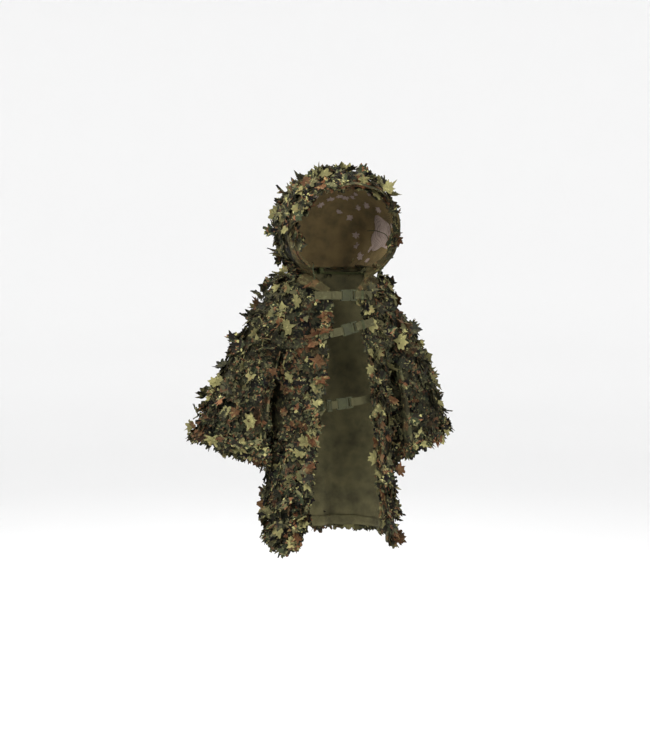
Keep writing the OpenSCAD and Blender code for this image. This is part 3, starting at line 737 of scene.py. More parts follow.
def moulded_plastic(name, code):
    """Satin moulded nylon with a fine texture and lighter rubbed edges."""
    m = Nodes(name)
    co = m.add("ShaderNodeTexCoord").outputs["Object"]
    grain, smear = m.noise(co, 900, 2.0), m.noise(co, 60, 3.0, 0.6)
    colour = m.mix(m.ramp(smear, 0.4, 0.75), hexa(code), hexa("393b24"))
    m.shader.inputs["Specular IOR Level"].default_value = 0.14
    m.link(colour, m.shader.inputs["Base Color"])
    m.link(m.ramp(smear, -0.4, 1.4), m.shader.inputs["Roughness"])
    m.bump(grain, 0.25, 0.0004)
    return m.mat


# The cover cloth under the leaves is dimmed to 0.16: painted shade between the leaves.
COVER_PAINTED_SHADE = camo_cloth("camo_cloth", 0.16)
LEAF_TOP = camo_cloth("leaf_top", 0.80)
# Leaf undersides and cut rims take the print dimmed to 0.42 against 0.80 on top: painted shade.
LEAF_BACK_PAINTED_SHADE = camo_cloth("leaf_back", 0.42, 0.02)
PLAIN_CAMO = camo_cloth("plain_camo", 0.62, 0.15)
RIM_CLOTH = camo_cloth("rim_cloth", 0.62, 0.50, "4e452b")
LINING = mesh_cloth("mesh_lining", "625d40", "45412d")
HOOD_MESH = mesh_cloth("hood_mesh", "6a5a3a", "4c412a")
SHEER = mesh_cloth("sheer_mesh", "97867c", "786a60")
WEBBING = webbing_cloth("webbing", "524f36", "302e1e")
TAPE = webbing_cloth("tape", "4f5434", "33371f", "")
ELASTIC = webbing_cloth("elastic", "3c402a", "272a1b", "")
THREAD = webbing_cloth("thread", "6d6c48", "4a4a30", "")
PLASTIC = moulded_plastic("buckle_plastic", "2c2d1c")

for node, ob in frame["nodes"].items():
    ob.data.materials.clear()
    tape = "_web_" in node or node in ("hang_loop", "neck_tape") or "keeper" in node
    hard = "buckle" in node or "prong" in node or "slider" in node
    ob.data.materials.append(TAPE if tape else PLASTIC if hard else PLAIN_CAMO)


# ---------------------------------------------------------------- dressing the jacket
def skirt_folds(cloth, depth, seed):
    """Hanging folds that grow from the waist to the hem."""
    angle = np.arctan2(cloth.points[..., 0], -(cloth.points[..., 1] - AXIS_Y))
    grow = ease((WAIST_Z + 0.05 - cloth.points[..., 2]) / 0.40)
    rng = np.random.default_rng(seed)
    wave = sum(np.sin(angle * k + rng.uniform(0, 6.28)) / 2 for k in (9, 14, 5))
    return depth * grow * wave


def dress(cloth, wrinkle, seed, folds=0.0):
    amount = wrinkle * ripples(cloth.points, 14, 0.16, 0.045, seed)
    if folds:
        amount = amount + skirt_folds(cloth, folds, seed + 1)
    return cloth.push(amount)


def cover_and_lining(name, cloth, lining_name, lining_mat):
    # The outside takes the cover camo, dimmed as painted shade between the leaves.
    cover = sheet(name, cloth, 0.0, CLOTH_T, [COVER_PAINTED_SHADE, LINING])
    print_on(cover)
    lining = sheet(lining_name, cloth, -LINING_IN - 0.0006, -LINING_IN, [lining_mat, lining_mat])
    print_on(lining)
    return cover, lining


def bend(ob, slot, a, b, zone, per=0):
    """Lets a piece follow both sides of a joint. zone: where the turn starts and ends."""
    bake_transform(ob, a, b, start=zone[0], end=zone[1])
    if per:
        keep_leaves_whole(ob, per)
    return ob


def rides(ob, body):
    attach(ob, body)
    return ob


def near(value, place, wide):
    return np.exp(-((value - place) / wide) ** 2)


def stitches(name, line, out, pitch=0.0046, length=0.0031, radius=0.0004):
    """A row of sewn stitches along a line of points, standing off along out."""
    step = np.linalg.norm(np.diff(line, axis=0), axis=1)
    run = np.concatenate([[0], np.cumsum(step)])
    at = np.arange(pitch, run[-1] - length, pitch)
    pick = lambda field, a: np.stack([np.interp(a, run, field[:, k]) for k in range(3)], -1)
    first, last = pick(line, at), pick(line, at + length)
    up = unit(pick(out, at))
    way = unit(last - first)
    side = unit(np.cross(way, up))
    rings = [(0.0, 0.25), (0.18, 1.0), (0.82, 1.0), (1.0, 0.25)]
    corners = [(1, 0), (0.5, 1), (-0.5, 1), (-1, 0)]
    verts = []
    for share, grow in rings:
        centre = first + (last - first) * share
        for a, b in corners:
            verts.append(centre + side * (a * radius * grow) + up * (b * radius * grow))
    verts = np.stack(verts, 1)
    n = len(corners)
    quads = [[r * n + k, r * n + (k + 1) % n, (r + 1) * n + (k + 1) % n, (r + 1) * n + k]
             for r in range(len(rings) - 1) for k in range(n)]
    quads += [[3, 2, 1, 0], [12, 13, 14, 15]]
    faces = np.array(quads)[None] + (np.arange(len(at)) * verts.shape[1])[:, None, None]
    return mesh_object(name, verts.reshape(-1, 3), faces.reshape(-1, 4), [THREAD])


def seam_row(name, cloth, u, v, off=0.0024):
    """Stitches along a path of (u, v) places on a cloth."""
    line = on_cloth(cloth, u, v, off)
    return stitches(name, line, line - on_cloth(cloth, u, v, 0.0))


LEAF_SIZE = (0.034, 0.050)
STANDING = (0.038, 0.056)
ALONG_EDGE = (0.036, 0.056)
TWO_MATS = [LEAF_TOP, LEAF_BACK_PAINTED_SHADE]
WAIST = ((0, 0, WAIST_Z + 0.015), (0, 0, WAIST_Z - 0.055))
ALL = np.linspace(0, 1, 240)
FLAT_TILT, STAND_TILT = (0, 12), (16, 66)


def foliage(leaves, cloth, flat, flat_mask, standing, stand_mask, seed, row=0.026):
    """Two layers of leaves: overlapping flat rows, and fewer, paler leaves that stand up."""
    scatter(leaves, cloth, flat, flat_mask, LEAF_SIZE, FLAT_TILT, seed, 0.8, 0.72, row, 0.004, PRINT_FINE)
    scatter(leaves, cloth, standing, stand_mask, STANDING, STAND_TILT, seed + 1, 1.3, 1.15, 0.0, 0.008)


for side, word in ((1, "left"), (-1, "right")):
    seed = 100 + side * 10
    panel = dress(Cloth(front_panel, 44, 150, side=side), 0.0042, seed, folds=0.010)
    cover, lining = cover_and_lining(f"front_{word}", panel, f"front_inside_{word}", LINING)
    flap = f"flap_{word}"
    leaves = Leaves(f"front_leaves_{word}")
    # Leaves thin out beside the armhole (u near 1, v near 0.32) so the cover's painted shade shows there as
    # a dark gap.
    bare = lambda u, v: (1.0 - 0.85 * near(u, 0.0, 0.16) * (v < 0.17) - 0.99 * (v < 0.085) * (u < 0.62)
                         - 0.9 * near(u, 1.0, 0.20) * near(v, 0.32, 0.14)
                         - 1.0 * ease((u - 0.46) / 0.18) * near(v, 0.62, 0.15))
    lively = lambda u, v: bare(u, v) * (0.25 + 1.2 * near(v, 0.07, 0.08) + 0.8 * near(u, 0.0, 0.25)
                                        + 0.9 * near(v, 1.0, 0.10))
    foliage(leaves, panel, 2000, bare, 850, lively, seed + 2)
    p, n, d = panel.points, panel.normals, panel.down
    fringe(leaves, p[:, -1], n[:, -1], d[:, -1], 0.011, ALONG_EDGE, 0.5, seed + 4)
    low = slice(18, None)
    out = p[0, low] - p[1, low]
    fringe(leaves, p[0, low], n[0, low], unit(out), 0.012, ALONG_EDGE, 0.5, seed + 5)
    leaf_piece = leaves.make(TWO_MATS)
    edge = binding(f"front_edge_{word}", panel, "u0", 0.015, [PLAIN_CAMO, PLAIN_CAMO], 150)
    hem = binding(f"front_hem_{word}", panel, "v1", 0.014, [PLAIN_CAMO, PLAIN_CAMO], 60)
    vent = binding(f"front_vent_{word}", panel, "u1", 0.010, [PLAIN_CAMO, PLAIN_CAMO], 110, (0.42, 1))
    inset = 0.011 / run_length(panel, 0, ALL)
    row = seam_row(f"front_stitch_{word}", panel, inset, ALL, 0.0031)
    inner = seam_row(f"front_inner_stitch_{word}", panel, inset, ALL, -0.0078)
    for ob, slot, per in ((cover, "leaf_cloth", 0), (lining, "mesh_cloth", 0), (edge, "plain_cloth", 0),
                          (hem, "plain_cloth", 0), (vent, "plain_cloth", 0), (row, "plain_cloth", 0),
                          (inner, "plain_cloth", 0), (leaf_piece, "leaf_cloth", leaves.per)):
        bend(ob, slot, "jacket", flap, WAIST, per)
    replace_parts(cover, f"front_cover_{word}", f"flap_cover_{word}")
    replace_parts(edge, f"front_facing_{word}", f"flap_facing_{word}")
    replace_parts(lining, f"front_lining_{word}", f"flap_lining_{word}")

    band = dress(Cloth(collar_band, 30, 12, side=side), 0.0016, seed + 6)
    collar = sheet(f"collar_{word}", band, 0.0022, 0.0036, [RIM_CLOTH, RIM_CLOTH])
    print_on(collar)
    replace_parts(rides(collar, "jacket"), f"collar_band_{word}")
    for k, place in enumerate((0.12, 0.86)):
        rides(seam_row(f"collar_stitch_{word}_{k}", band, ALL, place, 0.0037), "jacket")

    arm = Cloth(sleeve, 84, 80, closed=True, side=side)
    sway = sum(np.sin(2 * math.pi * (k * arm.u + shift)) for k, shift in ((4, 0.1), (7, 0.45), (10, 0.7)))
    arm.push(0.0042 * sway * ease(arm.v / 0.7))
    arm = dress(arm, 0.0050, seed + 7)
    shell, inner = cover_and_lining(f"sleeve_{word}", arm, f"sleeve_inside_{word}", LINING)
    leaves = Leaves(f"sleeve_leaves_{word}")
    # u: 0 outside, 0.25 back, 0.5 towards the body, 0.75 front
    calm = lambda u, v: (1.0 - 0.75 * near(u, 0.50, 0.13) - 0.98 * (abs(u - 0.655) < 0.034)
                         - 0.95 * (v < 0.045))
    edge_of = lambda u: near(u, 0.0, 0.05) + near(u, 1.0, 0.05)
    lively = lambda u, v: calm(u, v) * (0.10 + 1.0 * edge_of(u) + 0.9 * near(v, 1.0, 0.11)
                                        + 0.8 * near(v, 0.07, 0.07))
    foliage(leaves, arm, 2300, calm, 800, lively, seed + 8)
    fringe(leaves, arm.points[:, -1], arm.normals[:, -1], arm.down[:, -1], 0.008, ALONG_EDGE, 0.3, seed + 10)
    leaf_piece = leaves.make(TWO_MATS)
    hem = binding(f"sleeve_hem_{word}", arm, "v1", 0.022, [PLAIN_CAMO, PLAIN_CAMO], 120)
    strip = binding(f"armhole_{word}", arm, "v0", 0.020, [PLAIN_CAMO, PLAIN_CAMO], 120)
    rows = [seam_row(f"sleeve_stitch_{word}_{k}", arm, ALL, 0 * ALL + place, off)
            for k, (place, off) in enumerate(((0.97, 0.0031), (0.97, -0.0078), (0.03, 0.0031)))]
    pleat = Cloth(lambda u, v: on_cloth(arm, mix(0.615, 0.695, u), mix(0.02, 0.975, v),
                                        0.0024 + 0.0022 * np.sin(u * 9.5)), 16, 80)
    if side < 0:
        pleat.side = -1
        pleat.renew()
    smooth = sheet(f"sleeve_pleat_{word}", pleat, 0.0, 0.0010, [PLAIN_CAMO, PLAIN_CAMO])
    print_on(smooth)
    seam = tube(f"sleeve_seam_{word}", on_cloth(arm, 0.93 + 0 * ALL, mix(0.02, 0.97, ALL), 0.0022), 0.0014,
                [PLAIN_CAMO])
    zone = ((side * 0.200, 0, -0.05), (side * 0.245, 0, -0.12))
    for ob, slot, per in ((shell, "leaf_cloth", 0), (inner, "mesh_cloth", 0), (hem, "plain_cloth", 0),
                          (strip, "plain_cloth", 0), (seam, "plain_cloth", 0), (smooth, "plain_cloth", 0),
                          (leaf_piece, "leaf_cloth", leaves.per)):
        bend(ob, slot, "jacket", f"sleeve_{word}", zone, per)
    for ob in rows:
        bend(ob, "plain_cloth", "jacket", f"sleeve_{word}", zone)
    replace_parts(shell, f"sleeve_cover_{word}")
    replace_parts(hem, f"sleeve_hem_{word}")
    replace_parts(inner, f"sleeve_lining_{word}")

back = dress(Cloth(back_panel, 120, 150), 0.0045, 300, folds=0.012)
cover, lining = cover_and_lining("back", back, "back_inside", LINING)
leaves = Leaves("back_leaves")
full = lambda u, v: np.ones_like(u)
lively = lambda u, v: 0.35 + 0.9 * near(v, 0.06, 0.12) + 0.8 * near(v, 1.0, 0.12)
foliage(leaves, back, 2000, full, 800, lively, 301)
fringe(leaves, back.points[:, -1], back.normals[:, -1], back.down[:, -1], 0.010, ALONG_EDGE, 0.5, 303)
leaf_piece = leaves.make(TWO_MATS)
hem = binding("back_hem", back, "v1", 0.024, [LINING, LINING], 150)
vents = [binding(f"back_vent_{k}", back, f"u{k}", 0.010, [PLAIN_CAMO, PLAIN_CAMO], 110, (0.42, 1))
         for k in (0, 1)]
row = seam_row("back_hem_stitch", back, ALL, 1 - 0.019 / run_length(back, 1, ALL), -0.0078)
for ob, slot, per in [(cover, "leaf_cloth", 0), (lining, "mesh_cloth", 0), (hem, "plain_cloth", 0),
                      (row, "plain_cloth", 0), (leaf_piece, "leaf_cloth", leaves.per)] + [
                          (v, "plain_cloth", 0) for v in vents]:
    bend(ob, slot, "jacket", "tail", WAIST, per)
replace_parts(cover, "back_cover", "tail_cover")
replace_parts(hem, "tail_hem")
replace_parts(lining, "back_lining", "tail_lining")


def full_neck(u, v):
    """The back of the neckline, with angles past 180 mirrored on to the other side."""
    th = mix(COLLAR_ANGLE + 2, 358 - COLLAR_ANGLE, u)
    points = jacket(np.where(th > 180, 360 - th, th), mix(0.0, TAPE_LEVEL, v))[0]
    points[..., 0] *= np.where(th > 180, -1, 1)
    return points


neck = dress(Cloth(full_neck, 90, 8), 0.0008, 310)
tape = sheet("neck_tape_sewn", neck, -0.0078, -0.0062, [TAPE, TAPE])
print_on(tape)
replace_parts(rides(tape, "jacket"), "neck_tape")
for k, place in enumerate((0.15, 0.85)):
    rides(seam_row(f"neck_stitch_{k}", neck, ALL, 0 * ALL + place, -0.0080), "jacket")

# ---------------------------------------------------------------- the hood
NAPE = ((0, 0, 0.0), (0, 0, 0.09))
cap = dress(Cloth(hood, 130, 70), 0.0045, 400)
cover, lining = cover_and_lining("hood", cap, "hood_inside", HOOD_MESH)
leaves = Leaves("hood_leaves")
top_share = lambda u: near(u, 0.5, 0.30)
low_ends = lambda u: (u < 0.10) | (u > 0.90)
smooth_rim = lambda u, v: (1.0 - 0.97 * (v < 0.11 + 0.15 * np.abs(2 * u - 1) ** 1.5) * (1 - top_share(u))
                           - 0.5 * (v < 0.05) - 0.9 * low_ends(u) * (v < 0.34))
lively = lambda u, v: smooth_rim(u, v) * (0.32 + 0.18 * (u > 0.4) + 1.4 * near(v, 0.10, 0.12) * top_share(u))
foliage(leaves, cap, 2300, smooth_rim, 1250, lively, 401, 0.024)
for k, (top, spacing) in enumerate(((slice(8, 46), 0.016), (slice(46, 115), 0.0090))):
    rim_out = -cap.down[top, 0] * 0.7 + cap.normals[top, 0] * 1.5
    fringe(leaves, cap.points[top, 2], cap.normals[top, 0], unit(rim_out), spacing, STANDING, 0.0,
           403 + 10 * k)
crown = slice(58, 100)
to_middle = unit(np.array([0, AXIS_Y - HOOD_RIM_OUT, HOOD_MID_Z]) - cap.points[crown, 0])
over = cap.normals[crown, 0] * 0.4 - cap.down[crown, 0]
fringe(leaves, cap.points[crown, 0] - cap.down[crown, 0] * 0.004, unit(over), to_middle, 0.010, ALONG_EDGE,
       0.25, 404)
leaf_piece = leaves.make(TWO_MATS)
rim_width = lambda s: 0.018 + 0.040 * np.abs(2 * s - 1) ** 1.5
channel = binding("hood_channel", cap, "v0", rim_width, [RIM_CLOTH, RIM_CLOTH], 150)


def facing(u, v):
    """Turned-in cloth that lies in soft pleats behind the hood's rim."""
    ends = np.abs(2 * u - 1) ** 1.5
    pleat = 0.0035 * np.sin(2 * math.pi * (2.2 * v + 0.15 * np.sin(9 * u))) * (0.4 + ends)
    share = (0.010 + (0.030 + 0.018 * ends) * v) / run_length(cap, 1, u)
    return on_cloth(cap, u, share, -0.0115 + pleat)


turned = Cloth(facing, 140, 22)
inner_fold = sheet("hood_facing", turned, 0.0, 0.0010, [RIM_CLOTH, RIM_CLOTH])
print_on(inner_fold)


def brim(u, v):
    psi = mix(42.0, -42.0, u)
    lip = 0.030 * cos_d(90 * psi / 44)
    sag = 0.0022 * np.sin(u * 17) * v
    r = hood_rim(psi)
    return r + np.stack([0 * psi, -0.002 - lip * v, -0.003 - 0.25 * lip * v + sag - 0.004 * v ** 4], -1)


visor = Cloth(brim, 70, 14)
peak = sheet("hood_peak", visor, -0.0013, 0.0013, [PLAIN_CAMO, PLAIN_CAMO])
print_on(peak, 0.8)
peak_rows = [seam_row(f"hood_peak_stitch_{k}", visor, ALL, 0 * ALL + place, 0.0015)
             for k, place in enumerate((0.35, 0.62, 0.88))]


def neck_join(side):
    """Smooth cloth from the hood's lower edge down to the neckline, on one side."""
    def surface(u, v):
        a = on_cloth(cap, 0 * u + (0 if side > 0 else 1), u, -0.001)
        b = jacket(mix(36, 160, u), 0.03 + 0 * u)[0] * np.array([side, 1, 1]) + np.array([0, 0, 0.003])
        w = v[..., None]
        sag = np.sin(math.pi * v) * 0.004
        return a * (1 - w) + b * w + np.stack([side * sag, 0 * sag, 0 * sag], -1)
    return Cloth(surface, 70, 16)


joins = []
for side, word in ((1, "left"), (-1, "right")):
    gusset = neck_join(side)
    gusset.push(0.0014 * ripples(gusset.points, 8, 0.08, 0.03, 420 + side))
    ob = sheet(f"hood_neck_{word}", gusset, -0.0008, 0.0008, [RIM_CLOTH, RIM_CLOTH])
    print_on(ob)
    joins.append(ob)

# Sheer leaf-shaped windows in the mesh, with the face cord drawn across the largest
rng = np.random.default_rng(430)
windows = Leaves("hood_windows")
ways = [(u0, v0) for u0 in np.linspace(0.06, 0.94, 15) for v0 in (0.14, 0.24, 0.36, 0.47, 0.58)]
spots = np.array(ways) + rng.normal(0, 0.022, (len(ways), 2))
spots = spots[rng.random(len(spots)) < 0.8]
at = on_cloth(cap, spots[:, 0], spots[:, 1], -LINING_IN - 0.0030)
n_in = unit(at - on_cloth(cap, spots[:, 0], spots[:, 1], 0.0))
spin = unit(np.cross(n_in, rng.normal(size=(len(at), 3))))
flatness = 0 * at[:, 0]
windows.add(at, n_in, spin, rng.uniform(0.016, 0.032, len(at)), flatness, flatness, flatness,
            1 + flatness, rng)
window_piece = windows.make([SHEER, SHEER])
big = []
for k, side in enumerate((0, 1)):
    centre_u, centre_v = (0.155, 0.30) if side == 0 else (0.845, 0.30)

    def sheer(u, v, cu=centre_u, cv=centre_v):
        ang = u * 2 * math.pi
        wobble = 1 + 0.16 * np.sin(3 * ang + 1) + 0.10 * np.sin(5 * ang)
        return on_cloth(cap, cu + 0.076 * v * wobble * np.cos(ang), cv + 0.14 * v * wobble * np.sin(ang),
                        -LINING_IN - 0.0018)

    piece = Cloth(lambda u, v: sheer(u, mix(0.02, 1, v)), 48, 10, closed=True)
    ob = sheet(f"hood_sheer_{k}", piece, -0.0003, 0.0003, [SHEER, SHEER])
    print_on(ob)
    big.append(ob)
    bow = np.linspace(0, 1, 60)
    line = on_cloth(cap, centre_u + (0.075 * (bow - 0.5)) * (1 if side == 0 else -1),
                    centre_v - 0.12 + 0.30 * bow - 0.09 * np.sin(math.pi * bow), -LINING_IN - 0.0045)
    big.append(tube(f"hood_face_cord_{k}", line, 0.0013, [ELASTIC]))

cord_lines = []
for side in (1, -1):
    end = hood_rim(np.array(HOOD_RIM * side))
    drop = np.linspace(0, 1, 40)[:, None]
    sway = np.sin(drop * 5.0) * 0.004
    line = end + np.array([-0.006 * side, -0.012, 0.016]) + drop * np.array([0, 0, -0.046])
    line = line + np.concatenate([sway * side, -sway, 0 * sway], 1)
    cord_lines.append(tube(f"hood_cord_{'left' if side > 0 else 'right'}", line, 0.0018, [ELASTIC]))

for ob, slot, per in [(cover, "leaf_cloth", 0), (lining, "mesh_cloth", 0), (channel, "plain_cloth", 0),
                      (inner_fold, "plain_cloth", 0), (peak, "plain_cloth", 0),
                      (window_piece, "mesh_cloth", windows.per), (leaf_piece, "leaf_cloth", leaves.per)]:
    bend(ob, slot, "jacket", "hood", NAPE, per)
for ob in joins + big + peak_rows + cord_lines:
    bend(ob, "cord" if "cord" in ob.name else "plain_cloth", "jacket", "hood", NAPE)
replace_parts(cover, "hood_cover")
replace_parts(channel, "hood_rim_channel")
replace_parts(peak, "hood_brim")
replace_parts(lining, "hood_lining")
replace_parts(cord_lines[0], "hood_drawcord")

# ---------------------------------------------------------------- straps
STRAPS = {"top": (-0.151, -0.076, 0.0), "second": (-0.160, -0.180, 14.0), "waist": (-0.118, -0.418, 6.0)}
WEB_W, WEB_T = 0.025, 0.0016
LAYER, SOCKET_BAR, PLUG_BAR = 0.0009, -0.030, 0.027


def strap_spot(strap, x, y, z):
    """Row-frame points from places on a strap: x along it, y out of the body, z up."""
    depth, high, tilt = STRAPS[strap]
    x, y, z = np.broadcast_arrays(x, y, z)
    return np.stack([x * cos_d(tilt) - z * sin_d(tilt), depth + AXIS_Y + y,
                     high + x * sin_d(tilt) + z * cos_d(tilt)], -1)


def web_path(points):
    """Smooth path through corner points, in steps of about 1.2 mm."""
    points = np.array(points, float)
    run = np.concatenate([[0], np.cumsum(np.linalg.norm(np.diff(points, axis=0), axis=1))])
    at = np.linspace(0, run[-1], int(run[-1] / 0.0012))
    path = np.stack([np.interp(at, run, points[:, k]) for k in range(2)], -1)
    for _ in range(4):
        path[1:-1] = (path[:-2] + 2 * path[1:-1] + path[2:]) / 4
    return path


def webbing(name, strap, points, wave=0.0):
    """Woven strap along a path in its own plane, with thin selvedges and a soft twist."""
    path = web_path(points)
    way = unit(np.gradient(path, axis=0))
    normal = np.stack([-way[:, 1], way[:, 0]], -1)
    across = np.array([-1, -0.93, -0.84, -0.5, 0, 0.5, 0.84, 0.93, 1])
    thick = np.array([0.35, 0.95, 1.05, 0.92, 0.9, 0.92, 1.05, 0.95, 0.35]) * WEB_T / 2
    ring = np.concatenate([np.stack([across, thick], -1), np.stack([across[::-1], -thick[::-1]], -1)])
    run = np.concatenate([[0], np.cumsum(np.linalg.norm(np.diff(path, axis=0), axis=1))])
    rib = 1 + 0.07 * np.sin(run / 0.0021 * 2 * math.pi)
    verts, co = [], []
    for k in range(len(path)):
        off = ring[:, 1] * rib[k]
        x, y = path[k, 0] + normal[k, 0] * off, path[k, 1] + normal[k, 1] * off
        z = ring[:, 0] * WEB_W / 2
        verts.append(strap_spot(strap, x, y + wave * np.sin(run[k] * 60), z))
        co.append(np.stack([run[k] + 0 * z, z, 0 * z], -1))
    n, m = len(ring), len(path)
    verts, co = np.concatenate(verts), np.concatenate(co)
    i, j = np.meshgrid(np.arange(m - 1), np.arange(n), indexing="ij")
    j2 = (j + 1) % n
    walls = np.stack([i * n + j, i * n + j2, (i + 1) * n + j2, (i + 1) * n + j], -1).reshape(-1, 4)
    half = n // 2
    caps = []
    for base, flip in ((0, False), ((m - 1) * n, True)):
        for k in range(half - 1):
            quad = [base + k, base + n - 1 - k, base + n - 2 - k, base + k + 1]
            caps.append(quad[::-1] if flip else quad)
    ob = mesh_object(name, verts, np.concatenate([walls, np.array(caps)]), [WEBBING])
    put_attribute(ob, "strap_co", "FLOAT_VECTOR", co)
    return ob


def web_loop(cross, past, half, merge, tail):
    """Path of a strap that wraps round a buckle bar and doubles back along itself."""
    return [[merge, LAYER], [past, half], [cross, half], [cross, -half], [past, -half],
            [merge, -LAYER], [tail, -LAYER]]


def socket_loop(tail):
    return web_loop(SOCKET_BAR + 0.0043, SOCKET_BAR - 0.001, 0.006, SOCKET_BAR - 0.014, tail)


def plug_loop(tail):
    return web_loop(PLUG_BAR - 0.0049, PLUG_BAR + 0.002, 0.0036, PLUG_BAR + 0.011, tail)


def waist_path(side):
    """The waist strap's run inside a front panel, from the side seam to the opening."""
    z = STRAPS["waist"][1]
    th = np.linspace(50, 25, 6)
    x = side * (half_w(z) - 0.016) * sin_d(th)
    y = -STRAPS["waist"][0] - (half_d(z) - 0.017) * cos_d(th)
    return [list(q) for q in np.stack([x, y], -1)]


def box_stitch(name, strap, x0, x1, out):
    """The sewn square with a cross in it that holds a strap's end."""
    h = WEB_W / 2 - 0.0032
    corners = [(x0, -h), (x1, -h), (x1, h), (x0, h), (x0, -h), (x1, h), (x1, -h), (x0, h)]
    line = []
    for a, b in zip(corners[:-1], corners[1:]):
        for t in np.linspace(0, 1, 12):
            line.append((mix(a[0], b[0], t), mix(a[1], b[1], t)))
    line = np.array(line)
    depth = np.interp(line[:, 0], *out)
    pts = strap_spot(strap, line[:, 0], -depth, line[:, 1])
    return stitches(name, pts, np.tile([0.0, -1.0, 0.0], (len(pts), 1)), 0.0026, 0.0018, 0.00035)


def rounded_copy(node, body, mats, edge):
    """A moulded part from its CAD shape, with its edges rounded and its faces kept."""
    source = frame["nodes"][node]
    ob = bpy.data.objects.new(f"{node}_moulded", source.data.copy())
    bpy.context.scene.collection.objects.link(ob)
    ob.matrix_world = source.matrix_world.copy()
    ob.data.materials.clear()
    for m in mats:
        ob.data.materials.append(m)
    weld = ob.modifiers.new("weld", "WELD")
    weld.merge_threshold = 0.00002
    flat = ob.modifiers.new("flat", "DECIMATE")
    flat.decimate_type, flat.angle_limit = "DISSOLVE", math.radians(1.0)
    bevel = ob.modifiers.new("round", "BEVEL")
    bevel.width, bevel.segments, bevel.limit_method = edge, 3, "ANGLE"
    bevel.angle_limit = math.radians(32)
    bevel.use_clamp_overlap = True
    tri = ob.modifiers.new("tri", "TRIANGULATE")
    tri.quad_method = "BEAUTY"
    bpy.context.view_layer.update()
    made = bpy.data.meshes.new_from_object(ob.evaluated_get(bpy.context.evaluated_depsgraph_get()))
    ob.modifiers.clear()
    ob.data = made
    for polygon in made.polygons:
        polygon.use_smooth = True
    made.set_sharp_from_angle(angle=math.radians(38))
    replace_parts(rides(ob, body), node)
    return ob


for strap in STRAPS:
    if strap == "waist":
        right = waist_path(-1) + [[-0.066, LAYER]] + socket_loop(-0.062)
        left = waist_path(1) + [[0.062, LAYER]] + plug_loop(0.058)
    else:
        reach_r, reach_l = (-0.112, 0.082) if strap == "top" else (-0.100, 0.086)
        right = [[reach_r, 0.010], [-0.080, 0.005], [-0.060, LAYER]] + socket_loop(-0.058)
        left = [[reach_l, 0.006], [0.062, LAYER]] + plug_loop(0.060)
        box = box_stitch(f"{strap}_box_stitch", strap, reach_r + 0.004, reach_r + 0.026,
                         ([-0.112, -0.080, -0.060], [-0.0085, -0.0036, 0.0004]))
        rides(box, "jacket")
    web = webbing(f"{strap}_webbing_right", strap, right)
    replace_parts(rides(web, "jacket"), f"{strap}_web_right")
    web = webbing(f"{strap}_webbing_left", strap, left)
    far = strap_spot(strap, left[0][0], 0, 0)
    close = strap_spot(strap, PLUG_BAR + 0.004, 0, 0)
    bend(web, "webbing", "jacket", f"{strap}_plug", (tuple(far), tuple(close)))
    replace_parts(web, f"{strap}_web_left")
    rounded_copy(f"{strap}_buckle_socket", "jacket", [PLASTIC], 0.0009)
    rounded_copy(f"{strap}_buckle_plug", f"{strap}_plug", [PLASTIC], 0.0006)
    for end in ("upper", "lower"):
        rounded_copy(f"{strap}_prong_{end}", f"{strap}_prong_{end}", [PLASTIC], 0.0005)
    if strap == "waist":
        rounded_copy("waist_slider", "waist_slider", [PLASTIC], 0.0006)
    else:
        rounded_copy(f"{strap}_keeper", f"{strap}_keeper", [ELASTIC], 0.0008)

# ---------------------------------------------------------------- floor, light, camera
RIGHT = np.array([0.92, -0.39, 0.0])
RIGHT = RIGHT / np.linalg.norm(RIGHT)
FORWARD = np.array([-RIGHT[1], RIGHT[0], 0.0])
CAMERA_AWAY, CAMERA_UP, VIEW_H = 5.0, 0.378, 2.4225  # the lens is shifted down to level the view
AIM = np.array([0.0, AXIS_Y, -0.337]) - RIGHT * 0.016
FLOOR_Z = -1.56


def plain_material(name, value):
    m = Nodes(name)
    m.shader.inputs["Base Color"].default_value = (value, value, value, 1)
    m.shader.inputs["Roughness"].default_value = 0.9
    return m.mat


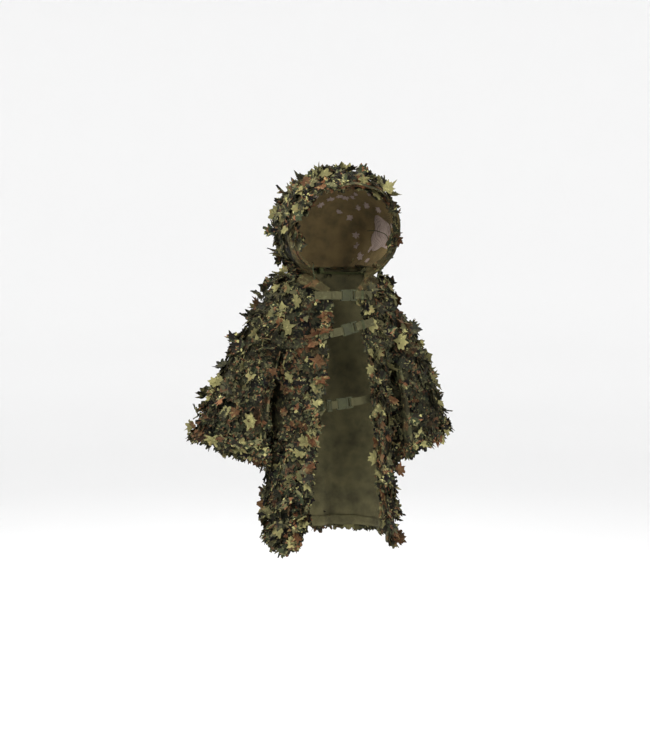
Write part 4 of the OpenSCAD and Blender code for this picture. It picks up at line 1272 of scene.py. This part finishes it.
def studio():
    """A round pale floor that curves up into a wall on every side."""
    away = np.array([0.001, 6.0, 7.0, 7.8, 8.4, 8.7, 8.8, 8.8])
    high = np.array([0.0, 0.0, 0.08, 0.3, 0.8, 1.5, 2.4, 6.0])
    turn = np.radians(np.arange(0, 360, 3.75))
    rows = np.stack([AIM[0] + away[:, None] * np.cos(turn), AIM[1] + away[:, None] * np.sin(turn),
                     FLOOR_Z + high[:, None] + 0 * turn], -1)
    n = len(turn)
    i, k = np.meshgrid(np.arange(len(away) - 1), np.arange(n), indexing="ij")
    k2 = (k + 1) % n
    faces = np.stack([i * n + k, (i + 1) * n + k, (i + 1) * n + k2, i * n + k2], -1).reshape(-1, 4)
    floor = mesh_object("floor", rows.reshape(-1, 3), faces, [plain_material("pale_floor", 0.92)])
    floor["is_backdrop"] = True


def area_light(name, place, size, power):
    data = bpy.data.lights.new(name, "AREA")
    data.energy, data.size, data.shape = power, size, "DISK"
    ob = bpy.data.objects.new(name, data)
    bpy.context.scene.collection.objects.link(ob)
    ob.location = place
    ob.rotation_mode = "QUATERNION"
    ob.rotation_quaternion = (Vector(AIM) - Vector(place)).to_track_quat("-Z", "Y")


studio()
area_light("key", AIM - FORWARD * 3.2 - RIGHT * 1.6 + np.array([0, 0, 2.4]), 2.0, 185)
area_light("fill", AIM - FORWARD * 3.0 + RIGHT * 2.4 + np.array([0, 0, 0.6]), 2.6, 66)
area_light("top", AIM + FORWARD * 1.0 + np.array([0, 0, 3.2]), 2.5, 80)
world = bpy.data.worlds.new("studio")
bpy.context.scene.world = world
world.use_nodes = True
world.node_tree.nodes["Background"].inputs["Color"].default_value = (1, 1, 1, 1)
world.node_tree.nodes["Background"].inputs["Strength"].default_value = 0.80
bpy.context.scene.view_settings.view_transform = "Standard"

lens = bpy.data.cameras.new("camera")
lens.lens = 36.0 * CAMERA_AWAY / VIEW_H
camera = bpy.data.objects.new("camera", lens)
bpy.context.scene.collection.objects.link(camera)
lens.shift_y = -CAMERA_UP / VIEW_H
camera.location = AIM - FORWARD * CAMERA_AWAY + np.array([0, 0, CAMERA_UP])
camera.rotation_euler = (math.radians(90), 0, math.atan2(RIGHT[1], RIGHT[0]))
bpy.context.scene.camera = camera

low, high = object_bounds()
